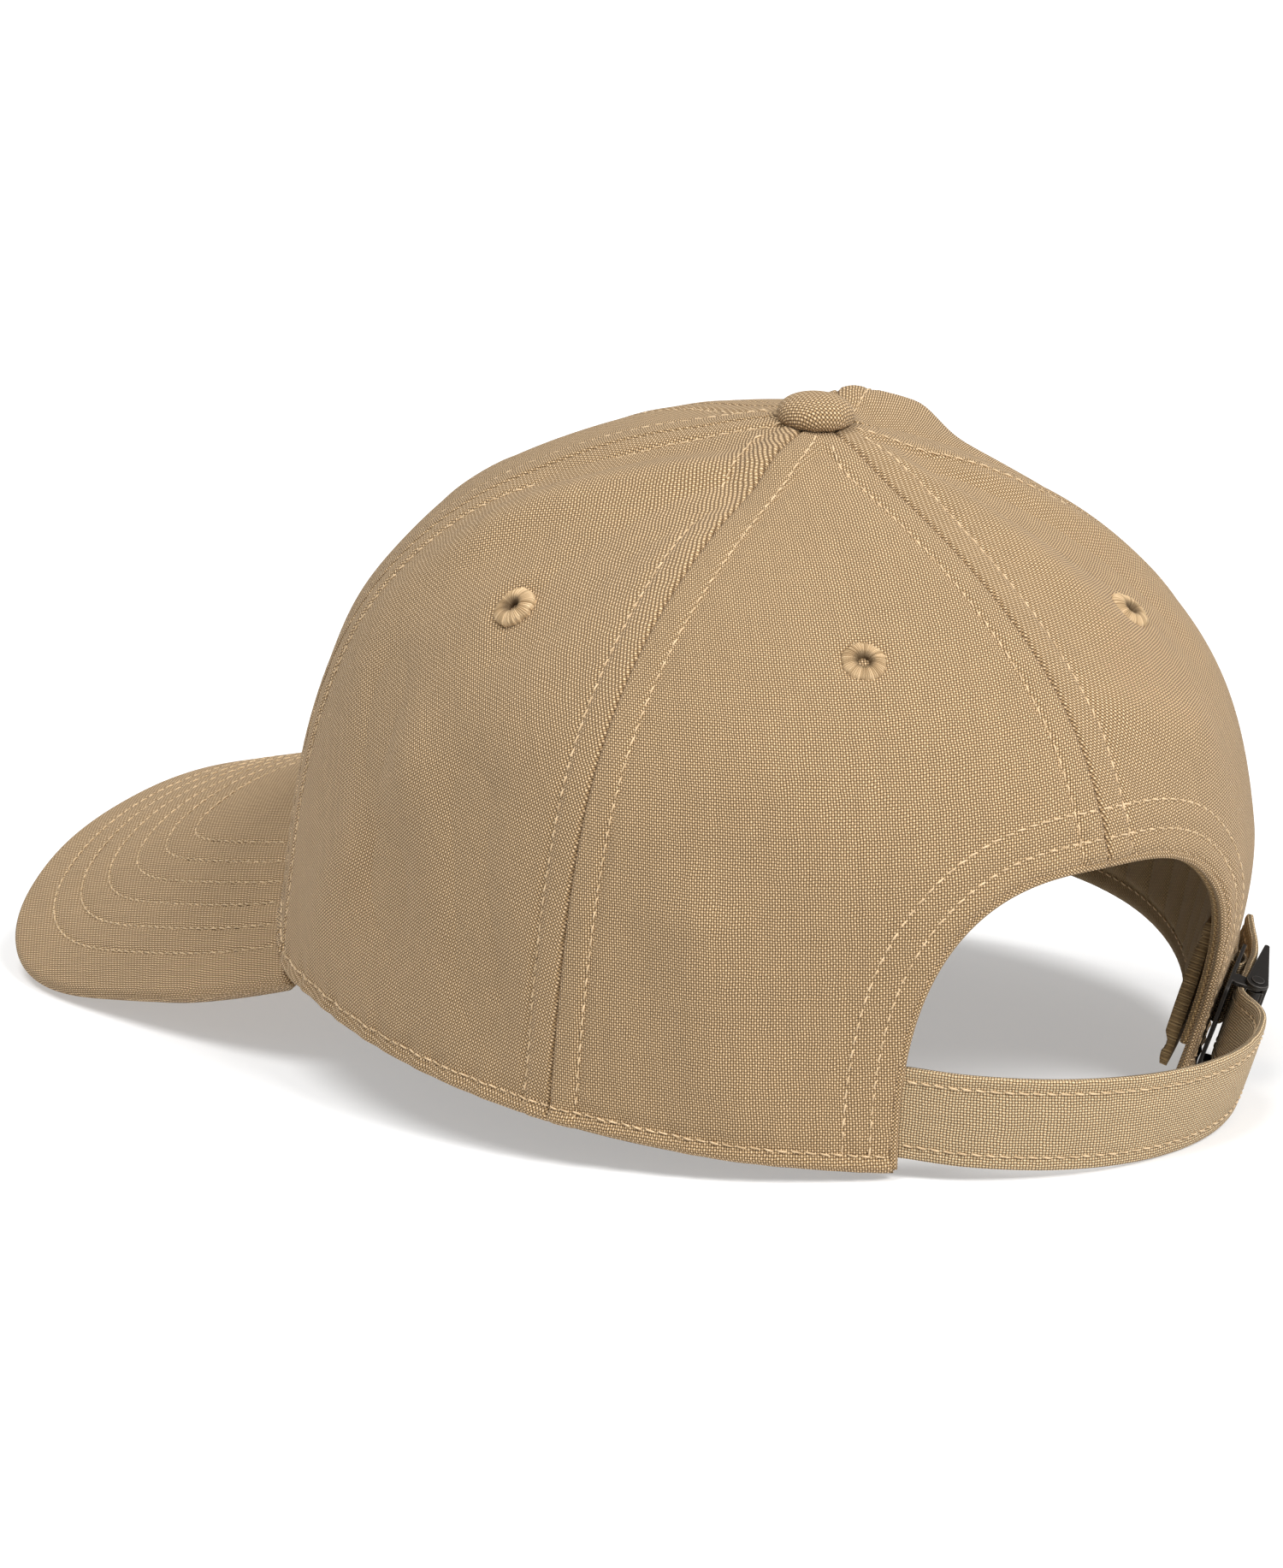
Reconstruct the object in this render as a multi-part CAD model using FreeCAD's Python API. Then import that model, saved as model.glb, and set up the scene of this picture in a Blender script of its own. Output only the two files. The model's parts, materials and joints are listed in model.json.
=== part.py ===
"""Six-panel baseball cap: sewn crown, curved visor, and a rear strap held by a hinged metal clasp.

The cap is drawn in its own wearing frame: the brim line is the plane z = 0, the front of the
head is -Y, the wearer's left is +X. At the end everything is tipped back onto the surface the
cap lies on, where it rests on the two low edges of the visor and the rear corners of the crown.
An angle "around" the crown is 0 at the front, 90 at the wearer's left and 180 at the back.
"Depth" is measured inwards from the outer face of the crown fabric.
"""
import FreeCAD, Part
import math
import os

Vector = FreeCAD.Vector

# ---------------------------------------------------------------- driving dimensions (mm, degrees)
# crown
HALF_WIDTH = 80.7
HALF_LENGTH = 98.2
CROWN_HEIGHT = 111.5
TOP_SHIFT = 9.1                          # the top button sits this far behind the oval's centre
OVAL_POWER = 0.97                        # 1 is a true ellipse, less is a little boxier
TAPER = (1.379, -0.468, 0.067, 0.057)    # cosine series: how quickly a profile closes to the top
ROUNDNESS = (0.510, 0.105, 0.048)        # cosine series: how square the profile's shoulder is
FLARE = (0.047, -0.017)                  # cosine series: widening of the crown at the brim line
SIDE_SEAM = 53.8                         # seam between the front and side panels
BACK_SEAM = 112.9                        # seam between the side and back panels
BUTTON_GAP = 0.055                       # hole left at the top, as a share of the base oval
TUCK = 11.8                              # the strap pulls the right rear corner in by this much
TUCK_ANGLE = -147.0
TUCK_SPREAD = 50.0
TUCK_HEIGHT = 42.0
HEM_LIFT = 6.0                           # and the hem beside it rides up by this much
HEM_LIFT_ANGLE = -93.0
HEM_LIFT_SPREAD = 42.0

# rear opening
ARCH_ANGLE = 28.15                       # half opening at the brim line, to each side of the back
ARCH_HEIGHT = 53.0
ARCH_POWER = 2.9
BACK_RADIUS = 90.0                       # distance from the crown's axis to the back, for widths

# layers of the crown, as (outer, inner) depth
PANEL = (0.0, 1.0)
BUCKRAM = (1.1, 1.6)
TAPE = (1.1, 1.6)
TAPE_OVER_BUCKRAM = (1.7, 2.2)
BINDING = (1.1, 1.9)
SWEATBAND = (3.6, 4.8)
TAPE_HALF_WIDTH = 8.0
TAPE_TOP = 0.27                          # the tapes stop where the crown has closed to this share
TAPE_LAP = 12.0                          # the front tape runs this far down behind the sweatband
BINDING_WIDTH = 10.0
SWEATBAND_HEIGHT = 30.0
SWEATBAND_END = 150.5

# eyelets: one in each panel, at (angle, height)
EYELETS = {"front": (27.0, 88.0), "side": (88.7, 85.0), "back": (147.6, 86.5)}
EYELET_RADIUS = 4.4
EYELET_BORE = 1.1
EYELET_NECK = 1.9
EYELET_RISE = 0.5

# button on top
BUTTON_RADIUS = 7.6
BUTTON_HEIGHT = 5.8
BUTTON_FABRIC = 0.8
TACK_RADIUS = 6.5

# visor, on a sheet rolled about a fore-and-aft axis
VISOR_ROLL = 101.0
VISOR_RISE = 14.4                        # height of its middle layer where it meets the forehead
VISOR_FRONT = -101.0                     # the forehead's place on the Y axis
VISOR_SLOPE = 0.28
VISOR_DROOP = 0.0006
VISOR_HALF_SPAN = 88.7                   # measured along the rolled sheet
VISOR_WIDEST = -104.0
VISOR_REACH = 78.1                       # from the widest place to the tip
VISOR_POWERS = (2.05, 2.82)
VISOR_WAIST = 7.3                        # how far the outline draws in where it meets the crown
VISOR_WAIST_LENGTH = 54.0
VISOR_END = 58.5                         # angle around the crown where the visor's seam ends
BOARD_HALF = 1.0
VISOR_HALF = 1.9

# strap
STRAP_HALF_WIDTH = 8.4
STRAP_HALF_THICK = 0.85
STRAP_HEIGHT = 11.2
STRAP_DROP = 1.6                         # the right end sits this much lower
STRAP_BOW_RADIUS = 46.5                  # the free span is an arc that stands out behind the head
STRAP_BOW_CENTRE = (-1.5, 68.3)
STRAP_BOW_TURN = (48.5, -52.0)           # degrees from straight back, where the arc starts and ends
STRAP_SEWN = (141.5, 144.5, 147.5, 149.7)    # crown angles of the length sewn in behind the panel
STRAP_DEPTH = 2.45                       # middle of the strap where it is sewn in behind the panel

# clasp, in its own frame: x runs forward from the strap's entry, y up the strap's width, z outward
CLASP_ANGLE = -142.5
CLASP_HEIGHT = 10.6
CLASP_RISE = 8.0
CLASP_MIDDLE = 10.0
BASE_LENGTH = 19.0
BASE_BOTTOM = 1.0
METAL = 0.7
BASE_HALF = 9.4
EAR_THICK = 0.7
PIN = (5.0, 6.1)
PIN_RADIUS = 0.7
HINGE_CLEARANCE = 0.05
LEVER_HALF = 10.3
KNUCKLE_RADIUS = 2.1
LEVER_TIP = (18.8, 5.3)
LEVER_TIP_RADIUS = 0.5
LEVER_LIP = 4.5
STRAP_IN_CLASP = 3.55                    # middle of the strap above the panel, inside the clasp
STRAP_TAIL = ((22.5, 3.4), (27.0, 2.6), (31.0, 2.2))    # (ahead of the clasp's entry, above the panel)

# how the cap lies
REST_TILT = 7.52                         # the brim line is raised this much at the front


# ---------------------------------------------------------------- small helpers
def series(terms, angle):
    """Cosine series round the crown, with the angle in degrees."""
    return sum(term * math.cos(k * math.radians(angle)) for k, term in enumerate(terms))


def steps(first, last, count):
    """Evenly spaced values, both ends included."""
    return [first + (last - first) * i / (count - 1) for i in range(count)]


def smooth(value):
    """Ease from 0 to 1."""
    value = min(max(value, 0.0), 1.0)
    return value * value * (3 - 2 * value)


def hump(value):
    """Smooth hump, 1 at zero and nothing beyond 1 to either side."""
    return math.cos(min(abs(value), 1.0) * math.pi / 2) ** 2


def power(value, exponent):
    """Signed power, for superellipses."""
    return math.copysign(abs(value) ** exponent, value)


def closed_solid(faces):
    """Sew faces into one outward-facing solid."""
    shell = Part.Shell(faces)
    shell.sewShape()
    solid = Part.Solid(Part.Shell(shell.Faces))
    if solid.Volume < 0:
        solid.reverse()
    return solid


def thick_sheet(point, us, vs, first, second):
    """Solid between two offset surfaces: point(u, v, depth) at depth first and depth second."""
    surfaces = []
    for depth in (first, second):
        surface = Part.BSplineSurface()
        surface.interpolate([[point(u, v, depth) for v in vs] for u in us])
        surfaces.append(surface)
    faces = [surface.toShape() for surface in surfaces]
    for side in (0, 1):
        edges_u = [s.uIso(s.bounds()[side]).toShape() for s in surfaces]
        edges_v = [s.vIso(s.bounds()[2 + side]).toShape() for s in surfaces]
        faces.append(Part.makeRuledSurface(*edges_u))
        faces.append(Part.makeRuledSurface(*edges_v))
    return closed_solid(faces)


# ---------------------------------------------------------------- crown surface
def base_oval(angle):
    """Unit oval direction of the brim line."""
    turn = math.radians(angle)
    size = abs(math.sin(turn)) ** (2 / OVAL_POWER) + abs(math.cos(turn)) ** (2 / OVAL_POWER)
    size = size ** (-OVAL_POWER / 2)
    return math.sin(turn) * size, -math.cos(turn) * size


def crown(angle, rise):
    """Outer face of the crown. rise runs from 0 at the brim line to a quarter turn at the top."""
    height = math.sin(rise)
    inward = (1 - max(height, 0.0) ** (2 / series(ROUNDNESS, angle))) ** (series(TAPER, angle) / 2)
    inward *= 1 + series(FLARE, angle) * (1 - height) ** 2
    x, y = base_oval(angle)
    point = Vector(HALF_WIDTH * x * inward,
                   HALF_LENGTH * y * inward + TOP_SHIFT * height * height,
                   CROWN_HEIGHT * height)
    return point + tuck(angle, point.z)


def tuck(angle, z):
    """The right rear corner, drawn inwards by the strap."""
    if z >= TUCK_HEIGHT:
        return Vector(0, 0, 0)
    fade = (1 - max(z, 0.0) / TUCK_HEIGHT) ** 1.5
    amount = TUCK * fade * hump((angle - TUCK_ANGLE) / TUCK_SPREAD)
    turn = math.radians(angle)
    return Vector(-math.sin(turn), math.cos(turn), 0) * amount


def tangents(angle, rise):
    """Unit vectors round and up the crown."""
    turn_step = 0.05
    rise_step = 0.0005
    across = crown(angle + turn_step, rise) - crown(angle - turn_step, rise)
    up = crown(angle, rise + rise_step) - crown(angle, rise - rise_step)
    return across.normalize(), up.normalize()


def degree_length(angle, rise):
    """Length of one degree round the crown."""
    half_step = 0.05
    return (crown(angle + half_step, rise) - crown(angle - half_step, rise)).Length / (2 * half_step)


def normal(angle, rise):
    """Outward unit normal of the crown."""
    across, up = tangents(angle, rise)
    return across.cross(up).normalize()


def layer(angle, rise, depth):
    """Point at a depth inside the crown's outer face."""
    return crown(angle, rise) - normal(angle, rise) * depth


def rise_at_height(z):
    return math.asin(min(z / CROWN_HEIGHT, 1.0))


def rise_near_top(angle, share):
    """Where the profile has closed to this share of the base oval."""
    inner = 1 - share ** (2 / series(TAPER, angle))
    return math.asin(inner ** (series(ROUNDNESS, angle) / 2))


# ---------------------------------------------------------------- visor surface
def visor_sheet(across, y, above):
    """Point of the visor's rolled sheet. across is measured along the sheet from its middle."""
    turn = across / VISOR_ROLL
    ahead = y - VISOR_FRONT
    fall = VISOR_SLOPE * ahead - VISOR_DROOP * ahead * ahead
    centre = VISOR_RISE + fall - VISOR_ROLL
    slope = VISOR_SLOPE - 2 * VISOR_DROOP * ahead
    outward = Vector(math.sin(turn), -slope * math.cos(turn), math.cos(turn)).normalize()
    middle = Vector(VISOR_ROLL * math.sin(turn), y, centre + VISOR_ROLL * math.cos(turn))
    return middle + outward * above


def visor_inner(angle):
    """Sheet coordinates of the visor's seam, under the inner face of the crown panels."""
    point = layer(angle, 0.0, PANEL[1])
    return VISOR_ROLL * math.asin(point.x / VISOR_ROLL), point.y


def visor_outer(u):
    """Sheet coordinates of the outline, from the right corner (-1) over the tip (0) to the left (1)."""
    round_share = 0.7
    share = abs(u) / round_share
    if share <= 1:
        turn = share * math.pi / 2
        across = VISOR_HALF_SPAN * math.sin(turn) ** (2 / VISOR_POWERS[0])
        y = VISOR_WIDEST - VISOR_REACH * max(math.cos(turn), 0.0) ** (2 / VISOR_POWERS[1])
    else:
        back = (abs(u) - round_share) / (1 - round_share)
        across = VISOR_HALF_SPAN - VISOR_WAIST * back ** 2.3
        y = VISOR_WIDEST + VISOR_WAIST_LENGTH * back
    return math.copysign(across, u), y


def visor_point(u, v, above):
    """u runs along the outline, v from the crown seam (0) to the outline (1)."""
    inner = visor_inner(VISOR_END * u)
    outer = visor_outer(u)
    return visor_sheet(inner[0] + (outer[0] - inner[0]) * v, inner[1] + (outer[1] - inner[1]) * v, above)


def hem_height(angle):
    """Lower edge of the crown: it rides over the visor's seam, and up again on the tucked side."""
    over = min(abs(angle), VISOR_END)
    clearance = 0.1
    top = visor_sheet(*visor_inner(over), VISOR_HALF).z + clearance
    lift = HEM_LIFT * hump((angle - HEM_LIFT_ANGLE) / HEM_LIFT_SPREAD)
    return top * (1 - smooth((abs(angle) - VISOR_END) / 15.0)) + lift


# ---------------------------------------------------------------- rear opening
def arch(t, outward):
    """(angle from the back, height) on the arch, t from 0 on the left to 1 on the right."""
    turn = math.pi * t
    reach = ARCH_ANGLE + math.degrees(outward / BACK_RADIUS)
    away = reach * power(math.cos(turn), 2 / ARCH_POWER)
    return away, (ARCH_HEIGHT + outward) * max(math.sin(turn), 0.0) ** (2 / ARCH_POWER)


def back_angle(away):
    """Crown angle that lies this many degrees from the back, positive to the wearer's left."""
    return 180.0 - away if away >= 0 else -180.0 - away


def arch_cutter():
    """Prism along Y that removes the rear opening from the back panels."""
    below = -8.0
    near = 30.0
    far = 150.0
    edge = []
    for t in steps(0.0, 1.0, 41):
        away, z = arch(t, 0.0)
        point = crown(back_angle(away), rise_at_height(z))
        edge.append(Vector(point.x, near, point.z))
    curve = Part.BSplineCurve()
    curve.interpolate(edge)
    corners = [edge[-1], Vector(edge[-1].x, near, below), Vector(edge[0].x, near, below), edge[0]]
    wire = Part.Wire([curve.toShape()] + [Part.makeLine(a, b) for a, b in zip(corners, corners[1:])])
    return Part.Face(wire).extrude(Vector(0, far - near, 0))


# ---------------------------------------------------------------- crown pieces
def crown_patch(first, last, depths, low, high, columns=15, rows=23):
    """Patch of crown between two angles. low(angle) and high(angle) give the ends of its rise."""
    def point(angle, v, depth):
        return layer(angle, low(angle) + (high(angle) - low(angle)) * v, depth)
    return thick_sheet(point, steps(first, last, columns), steps(0.0, 1.0, rows), *depths)


def hem_rise(angle):
    return math.asin(hem_height(angle) / CROWN_HEIGHT)


def panel(first, last):
    return crown_patch(first, last, PANEL, hem_rise, lambda angle: rise_near_top(angle, BUTTON_GAP))


def buckram(first, last):
    """Stiff backing of a front panel, held clear of the seams and the brim line."""
    clear = 1.0
    return crown_patch(first, last, BUCKRAM, lambda angle: hem_rise(angle) + math.asin(clear / CROWN_HEIGHT),
                       lambda angle: rise_near_top(angle, 2 * BUTTON_GAP))


def seam_tape(angle, depths, low, high):
    """Tape over the seam allowance, as wide as TAPE_HALF_WIDTH to each side."""
    def point(rise, side, depth):
        return layer(angle + side * TAPE_HALF_WIDTH / degree_length(angle, rise), rise, depth)
    return thick_sheet(point, steps(low, high, 17), steps(-1.0, 1.0, 5), *depths)


def sweatband():
    """Band that lies against the forehead and runs round to both rear corners."""
    lift = 1.0
    return crown_patch(-SWEATBAND_END, SWEATBAND_END, SWEATBAND,
                       lambda angle: math.asin((hem_height(angle) + lift) / CROWN_HEIGHT),
                       lambda angle: math.asin((hem_height(angle) + SWEATBAND_HEIGHT) / CROWN_HEIGHT),
                       columns=61, rows=5)


def arch_binding():
    """Bias tape that faces the inside of the rear opening, ending above the sewn end of the strap."""
    edge_clear = 0.4
    left_end = 0.09
    right_end = 0.985

    def point(t, v, depth):
        away, z = arch(t, edge_clear + BINDING_WIDTH * v)
        return layer(back_angle(away), rise_at_height(z), depth)
    half_left = thick_sheet(point, steps(left_end, 0.4995, 19), steps(0.0, 1.0, 4), *BINDING)
    half_right = thick_sheet(point, steps(0.5005, right_end, 19), steps(0.0, 1.0, 4), *BINDING)
    return Part.makeCompound([half_left, half_right])


def eyelet(angle, z, inner_depth):
    """Sewn eyelet: a ring on each face of the cloth, joined by a neck through it."""
    outer = EYELET_RISE
    inner = -inner_depth - EYELET_RISE - 0.2
    ring = 0.45
    gap = 0.05
    profile = [(EYELET_BORE, inner), (EYELET_RADIUS - ring, inner), (EYELET_RADIUS, inner + ring),
               (EYELET_NECK, inner + ring), (EYELET_NECK, gap), (EYELET_RADIUS, gap),
               (EYELET_RADIUS - ring, outer), (EYELET_BORE, outer)]
    points = [Vector(r, 0, height) for r, height in profile]
    face = Part.Face(Part.makePolygon(points + points[:1]))
    solid = face.revolve(Vector(0, 0, 0), Vector(0, 0, 1), 360)
    return at_crown(solid, angle, z)


def at_crown(shape, angle, z):
    """Stand a shape drawn about the origin on the crown, its +Z along the outward normal."""
    rise = rise_at_height(z)
    turn = FreeCAD.Rotation(Vector(0, 0, 1), normal(angle, rise))
    moved = shape.copy()
    moved.Placement = FreeCAD.Placement(crown(angle, rise), turn).multiply(shape.Placement)
    return moved


def eyelet_hole(angle, z):
    deep = 6.0
    wider = 0.1
    return at_crown(Part.makeCylinder(EYELET_NECK + wider, 2 * deep, Vector(0, 0, -deep)), angle, z)


def revolved(profile, centre):
    """Solid of revolution about a vertical axis, from the edges of half its section."""
    face = Part.Face(Part.Wire(profile))
    solid = face.revolve(Vector(0, 0, 0), Vector(0, 0, 1), 360)
    solid.translate(centre)
    return solid


def dome(radius, height, low, bore=0.0, bore_top=0.0):
    """Edges of half a dome section: flat below, an elliptic curve above, with room for a post."""
    flat_top = 0.4
    turns = steps(0.0, math.acos(flat_top / radius), 9)
    points = [Vector(radius * math.cos(turn), 0, low + height * math.sin(turn)) for turn in turns]
    curve = Part.BSplineCurve()
    curve.interpolate(points)
    corners = [points[-1], Vector(0, 0, points[-1].z), Vector(0, 0, low)]
    if bore:
        corners[2:] = [Vector(0, 0, bore_top), Vector(bore, 0, bore_top), Vector(bore, 0, low)]
    corners.append(points[0])
    return [curve.toShape()] + [Part.makeLine(a, b) for a, b in zip(corners, corners[1:])]


def button():
    """Fabric-covered button: metal shell, its cloth cover and the tack that holds it."""
    clear = 0.3
    foot = CROWN_HEIGHT + clear
    centre = Vector(0, TOP_SHIFT, 0)
    post_radius = 1.2
    flange = 0.6
    flange_low = CROWN_HEIGHT - 5.2
    post_top = foot + BUTTON_FABRIC + 1.6
    shell_size = (BUTTON_RADIUS - BUTTON_FABRIC, BUTTON_HEIGHT - 2 * BUTTON_FABRIC, foot + BUTTON_FABRIC)
    tack = Part.makeCylinder(TACK_RADIUS, flange, centre + Vector(0, 0, flange_low))
    tack = tack.fuse(Part.makeCylinder(post_radius, post_top - flange_low, centre + Vector(0, 0, flange_low)))
    cover = revolved(dome(BUTTON_RADIUS, BUTTON_HEIGHT, foot), centre)
    cover = cover.cut(revolved(dome(*shell_size), centre)).cut(tack)
    return cover, revolved(dome(*shell_size, post_radius, post_top), centre), tack.removeSplitter()


# ---------------------------------------------------------------- visor pieces
def visor():
    """Stiff board sealed between an upper and a lower fabric cover."""
    us = steps(-1.0, 1.0, 41)
    vs = steps(0.0, 1.0, 7)
    inset_u = 0.985
    inset_v = 0.015
    board = thick_sheet(visor_point, [u * inset_u for u in us], steps(inset_v, 1 - inset_v, 7),
                        BOARD_HALF, -BOARD_HALF)
    upper = thick_sheet(visor_point, us, vs, VISOR_HALF, 0.0).cut(board)
    lower = thick_sheet(visor_point, us, vs, 0.0, -VISOR_HALF).cut(board)
    return board, upper, lower


# ---------------------------------------------------------------- clasp and strap
def clasp_frame():
    """Origin and the three unit axes of the clasp, on the outer face of the right back panel."""
    rise = rise_at_height(CLASP_HEIGHT)
    outward = normal(CLASP_ANGLE, rise)
    level = Vector(0, 0, 1).cross(outward).normalize()
    lift = math.radians(CLASP_RISE)
    along = level * math.cos(lift) + outward.cross(level) * math.sin(lift)
    return crown(CLASP_ANGLE, rise), along, outward.cross(along), outward


def clasp_point(x, y, z):
    origin, along, width, outward = clasp_frame()
    return origin + along * (x - CLASP_MIDDLE) + width * y + outward * z


def in_clasp(shape):
    """Move a shape drawn in the clasp's frame to its place on the cap."""
    origin, along, width, outward = clasp_frame()
    corner = clasp_point(0, 0, 0)
    matrix = FreeCAD.Matrix(along.x, width.x, outward.x, corner.x,
                            along.y, width.y, outward.y, corner.y,
                            along.z, width.z, outward.z, corner.z,
                            0, 0, 0, 1)
    moved = shape.copy()
    moved.Placement = FreeCAD.Placement(matrix).multiply(shape.Placement)
    return moved


def side_plate(outline, y_low, thickness):
    """Flat plate whose outline lies in the clasp's x-z plane."""
    return Part.Face(Part.Wire(outline)).extrude(Vector(0, thickness, 0)).translated(Vector(0, y_low, 0))


def both_sides(outline, inner):
    """The same ear on both sides of the clasp."""
    return [side_plate(outline, inner, EAR_THICK), side_plate(outline, -inner - EAR_THICK, EAR_THICK)]


def cross_rod(radius, half_length, x, z):
    return Part.makeCylinder(radius, 2 * half_length, Vector(x, -half_length, z), Vector(0, 1, 0))


def tangent_hull(centre_a, radius_a, centre_b, radius_b):
    """Outline of two circles and their outer tangents, in the x-z plane."""
    dx = centre_b[0] - centre_a[0]
    dz = centre_b[1] - centre_a[1]
    heading = math.atan2(dz, dx)
    spread = math.acos((radius_a - radius_b) / math.hypot(dx, dz))

    def on(centre, radius, angle):
        return Vector(centre[0] + radius * math.cos(angle), 0, centre[1] + radius * math.sin(angle))
    upper = heading + spread
    lower = heading - spread
    far_side = heading + math.pi
    return [
        Part.Arc(on(centre_a, radius_a, upper), on(centre_a, radius_a, far_side),
                 on(centre_a, radius_a, lower)).toShape(),
        Part.makeLine(on(centre_a, radius_a, lower), on(centre_b, radius_b, lower)),
        Part.Arc(on(centre_b, radius_b, lower), on(centre_b, radius_b, heading),
                 on(centre_b, radius_b, upper)).toShape(),
        Part.makeLine(on(centre_b, radius_b, upper), on(centre_a, radius_a, upper)),
    ]


def clasp_base():
    """Plate on the panel with a slot for the anchor tab and two ears for the hinge pin."""
    plate = Part.makeBox(BASE_LENGTH, 2 * BASE_HALF, METAL, Vector(0, -BASE_HALF, BASE_BOTTOM))
    corner_radius = 1.2
    upright = [edge for edge in plate.Edges if abs(edge.tangentAt(edge.FirstParameter).z) > 0.9]
    plate = plate.makeFillet(corner_radius, upright)
    slot_half = 7.4
    slot_start = 14.0
    slot_length = 2.4
    plate = plate.cut(Part.makeBox(slot_length, 2 * slot_half, 4 * METAL,
                                   Vector(slot_start, -slot_half, BASE_BOTTOM - METAL)))
    ear_radius = 1.2
    foot_radius = 1.6
    ear = tangent_hull(PIN, ear_radius, (PIN[0], BASE_BOTTOM + foot_radius), foot_radius)
    for piece in both_sides(ear, BASE_HALF - EAR_THICK):
        plate = plate.fuse(piece)
    plate = plate.cut(cross_rod(PIN_RADIUS, BASE_HALF + 1, *PIN))
    return plate.removeSplitter()


def clasp_pin():
    """Hinge pin, riveted over outside the lever's ears."""
    head_gap = 0.05
    head_thick = 0.3
    head_radius = 1.2
    half = LEVER_HALF + head_gap + head_thick
    pin = cross_rod(PIN_RADIUS, half, *PIN)
    for start in (-half, half - head_thick):
        pin = pin.fuse(Part.makeCylinder(head_radius, head_thick, Vector(PIN[0], start, PIN[1]),
                                         Vector(0, 1, 0)))
    return pin.removeSplitter()


def clasp_lever():
    """Hinged cover: an outer plate, two tapering ears, and a cam round the pin that grips the strap."""
    hull = tangent_hull(PIN, KNUCKLE_RADIUS, LEVER_TIP, LEVER_TIP_RADIUS)
    ears = both_sides(hull, LEVER_HALF - EAR_THICK)
    top_near = hull[3].Vertexes[1].Point
    top_far = hull[3].Vertexes[0].Point
    if top_near.x > top_far.x:
        top_near, top_far = top_far, top_near
    along = (top_far - top_near).normalize()
    inward = Vector(along.z, 0, -along.x)
    lip = top_near - along * (top_near.x - LEVER_LIP)
    corners = [lip, top_far, top_far + inward * METAL, lip + inward * METAL]
    lever = Part.Face(Part.makePolygon(corners + corners[:1])).extrude(Vector(0, 2 * LEVER_HALF, 0))
    lever.translate(Vector(0, -LEVER_HALF, 0))
    cam_half = BASE_HALF - EAR_THICK - 0.25
    cam_radius = 1.4
    web_half = 0.7
    web = Part.makeBox(2 * web_half, 2 * cam_half, KNUCKLE_RADIUS - METAL / 2,
                       Vector(PIN[0] - web_half, -cam_half, PIN[1]))
    tooth_radius = 0.7
    tooth = cross_rod(tooth_radius, cam_half, PIN[0] + 0.4, PIN[1] - 0.8)
    for piece in ears + [cross_rod(cam_radius, cam_half, *PIN), web, tooth]:
        lever = lever.fuse(piece)
    lever = lever.cut(cross_rod(PIN_RADIUS + HINGE_CLEARANCE, LEVER_HALF + 1, *PIN))
    return lever.removeSplitter()


def surface_beside_clasp(x, lift):
    """Point above the panel straight ahead of the clasp, with the crown's unit vectors there."""
    angle = CLASP_ANGLE + (x - CLASP_MIDDLE) / degree_length(CLASP_ANGLE, rise_at_height(CLASP_HEIGHT))
    rise = rise_at_height(clasp_point(x, 0, 0).z)
    up = tangents(angle, rise)[1]
    outward = normal(angle, rise)
    return crown(angle, rise) + outward * lift, up, outward


def anchor_tab():
    """Cloth tab sewn to the panel: it passes up through the base's slot and back over its end bar."""
    half_width = 6.8
    low = 0.15
    high = 0.85
    first = 12.5
    last = 29.0

    def point(x, side, lift):
        middle, up, outward = surface_beside_clasp(x, lift)
        return middle + up * (side * half_width)
    tab = thick_sheet(point, steps(first, last, 9), steps(-1.0, 1.0, 5), high, low)
    thick = 0.6
    near = 14.9
    far = 20.0
    top = 2.45
    foot = low + 0.4
    loop = [(near, foot), (near, top), (far, top), (far, foot - 0.6), (far - thick, foot - 0.6),
            (far - thick, top - thick), (near + thick, top - thick), (near + thick, foot)]
    corners = [Vector(x, 0, z) for x, z in loop]
    strip = Part.Face(Part.makePolygon(corners + corners[:1])).extrude(Vector(0, 2 * half_width, 0))
    strip.translate(Vector(0, -half_width, 0))
    return tab.fuse(in_clasp(strip)).removeSplitter()


def strap_line():
    """Points along the middle of the strap, each with the direction of its width."""
    line = []
    rise = rise_at_height(STRAP_HEIGHT)
    sewn_up = tangents(150.0, rise)[1]
    clasp_up = clasp_frame()[2]
    for angle in STRAP_SEWN:
        line.append((layer(angle, rise, STRAP_DEPTH), sewn_up))
    first, last = STRAP_BOW_TURN
    for turn in steps(first, last, 11):
        share = smooth((first - turn) / (first - last))
        x = STRAP_BOW_CENTRE[0] + STRAP_BOW_RADIUS * math.sin(math.radians(turn))
        y = STRAP_BOW_CENTRE[1] + STRAP_BOW_RADIUS * math.cos(math.radians(turn))
        up = (sewn_up * (1 - share) + clasp_up * share).normalize()
        line.append((Vector(x, y, STRAP_HEIGHT - STRAP_DROP * share), up))
    for x in steps(5.0, 18.5, 4):
        line.append((clasp_point(x, 0, STRAP_IN_CLASP), clasp_up))
    for x, lift in STRAP_TAIL:
        line.append((surface_beside_clasp(x, lift)[0], clasp_up))
    return line


def strap():
    """Doubled cloth strap: sewn behind the left panel, bowed round the back, through the clasp."""
    line = strap_line()
    count = len(line)

    def point(index, side, lift):
        before = line[max(index - 1, 0)][0]
        after = line[min(index + 1, count - 1)][0]
        middle, up = line[index]
        outward = (after - before).cross(up).normalize()
        return middle + up * (side * STRAP_HALF_WIDTH) + outward * lift
    return thick_sheet(point, range(count), steps(-1.0, 1.0, 3), STRAP_HALF_THICK, -STRAP_HALF_THICK)


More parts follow.
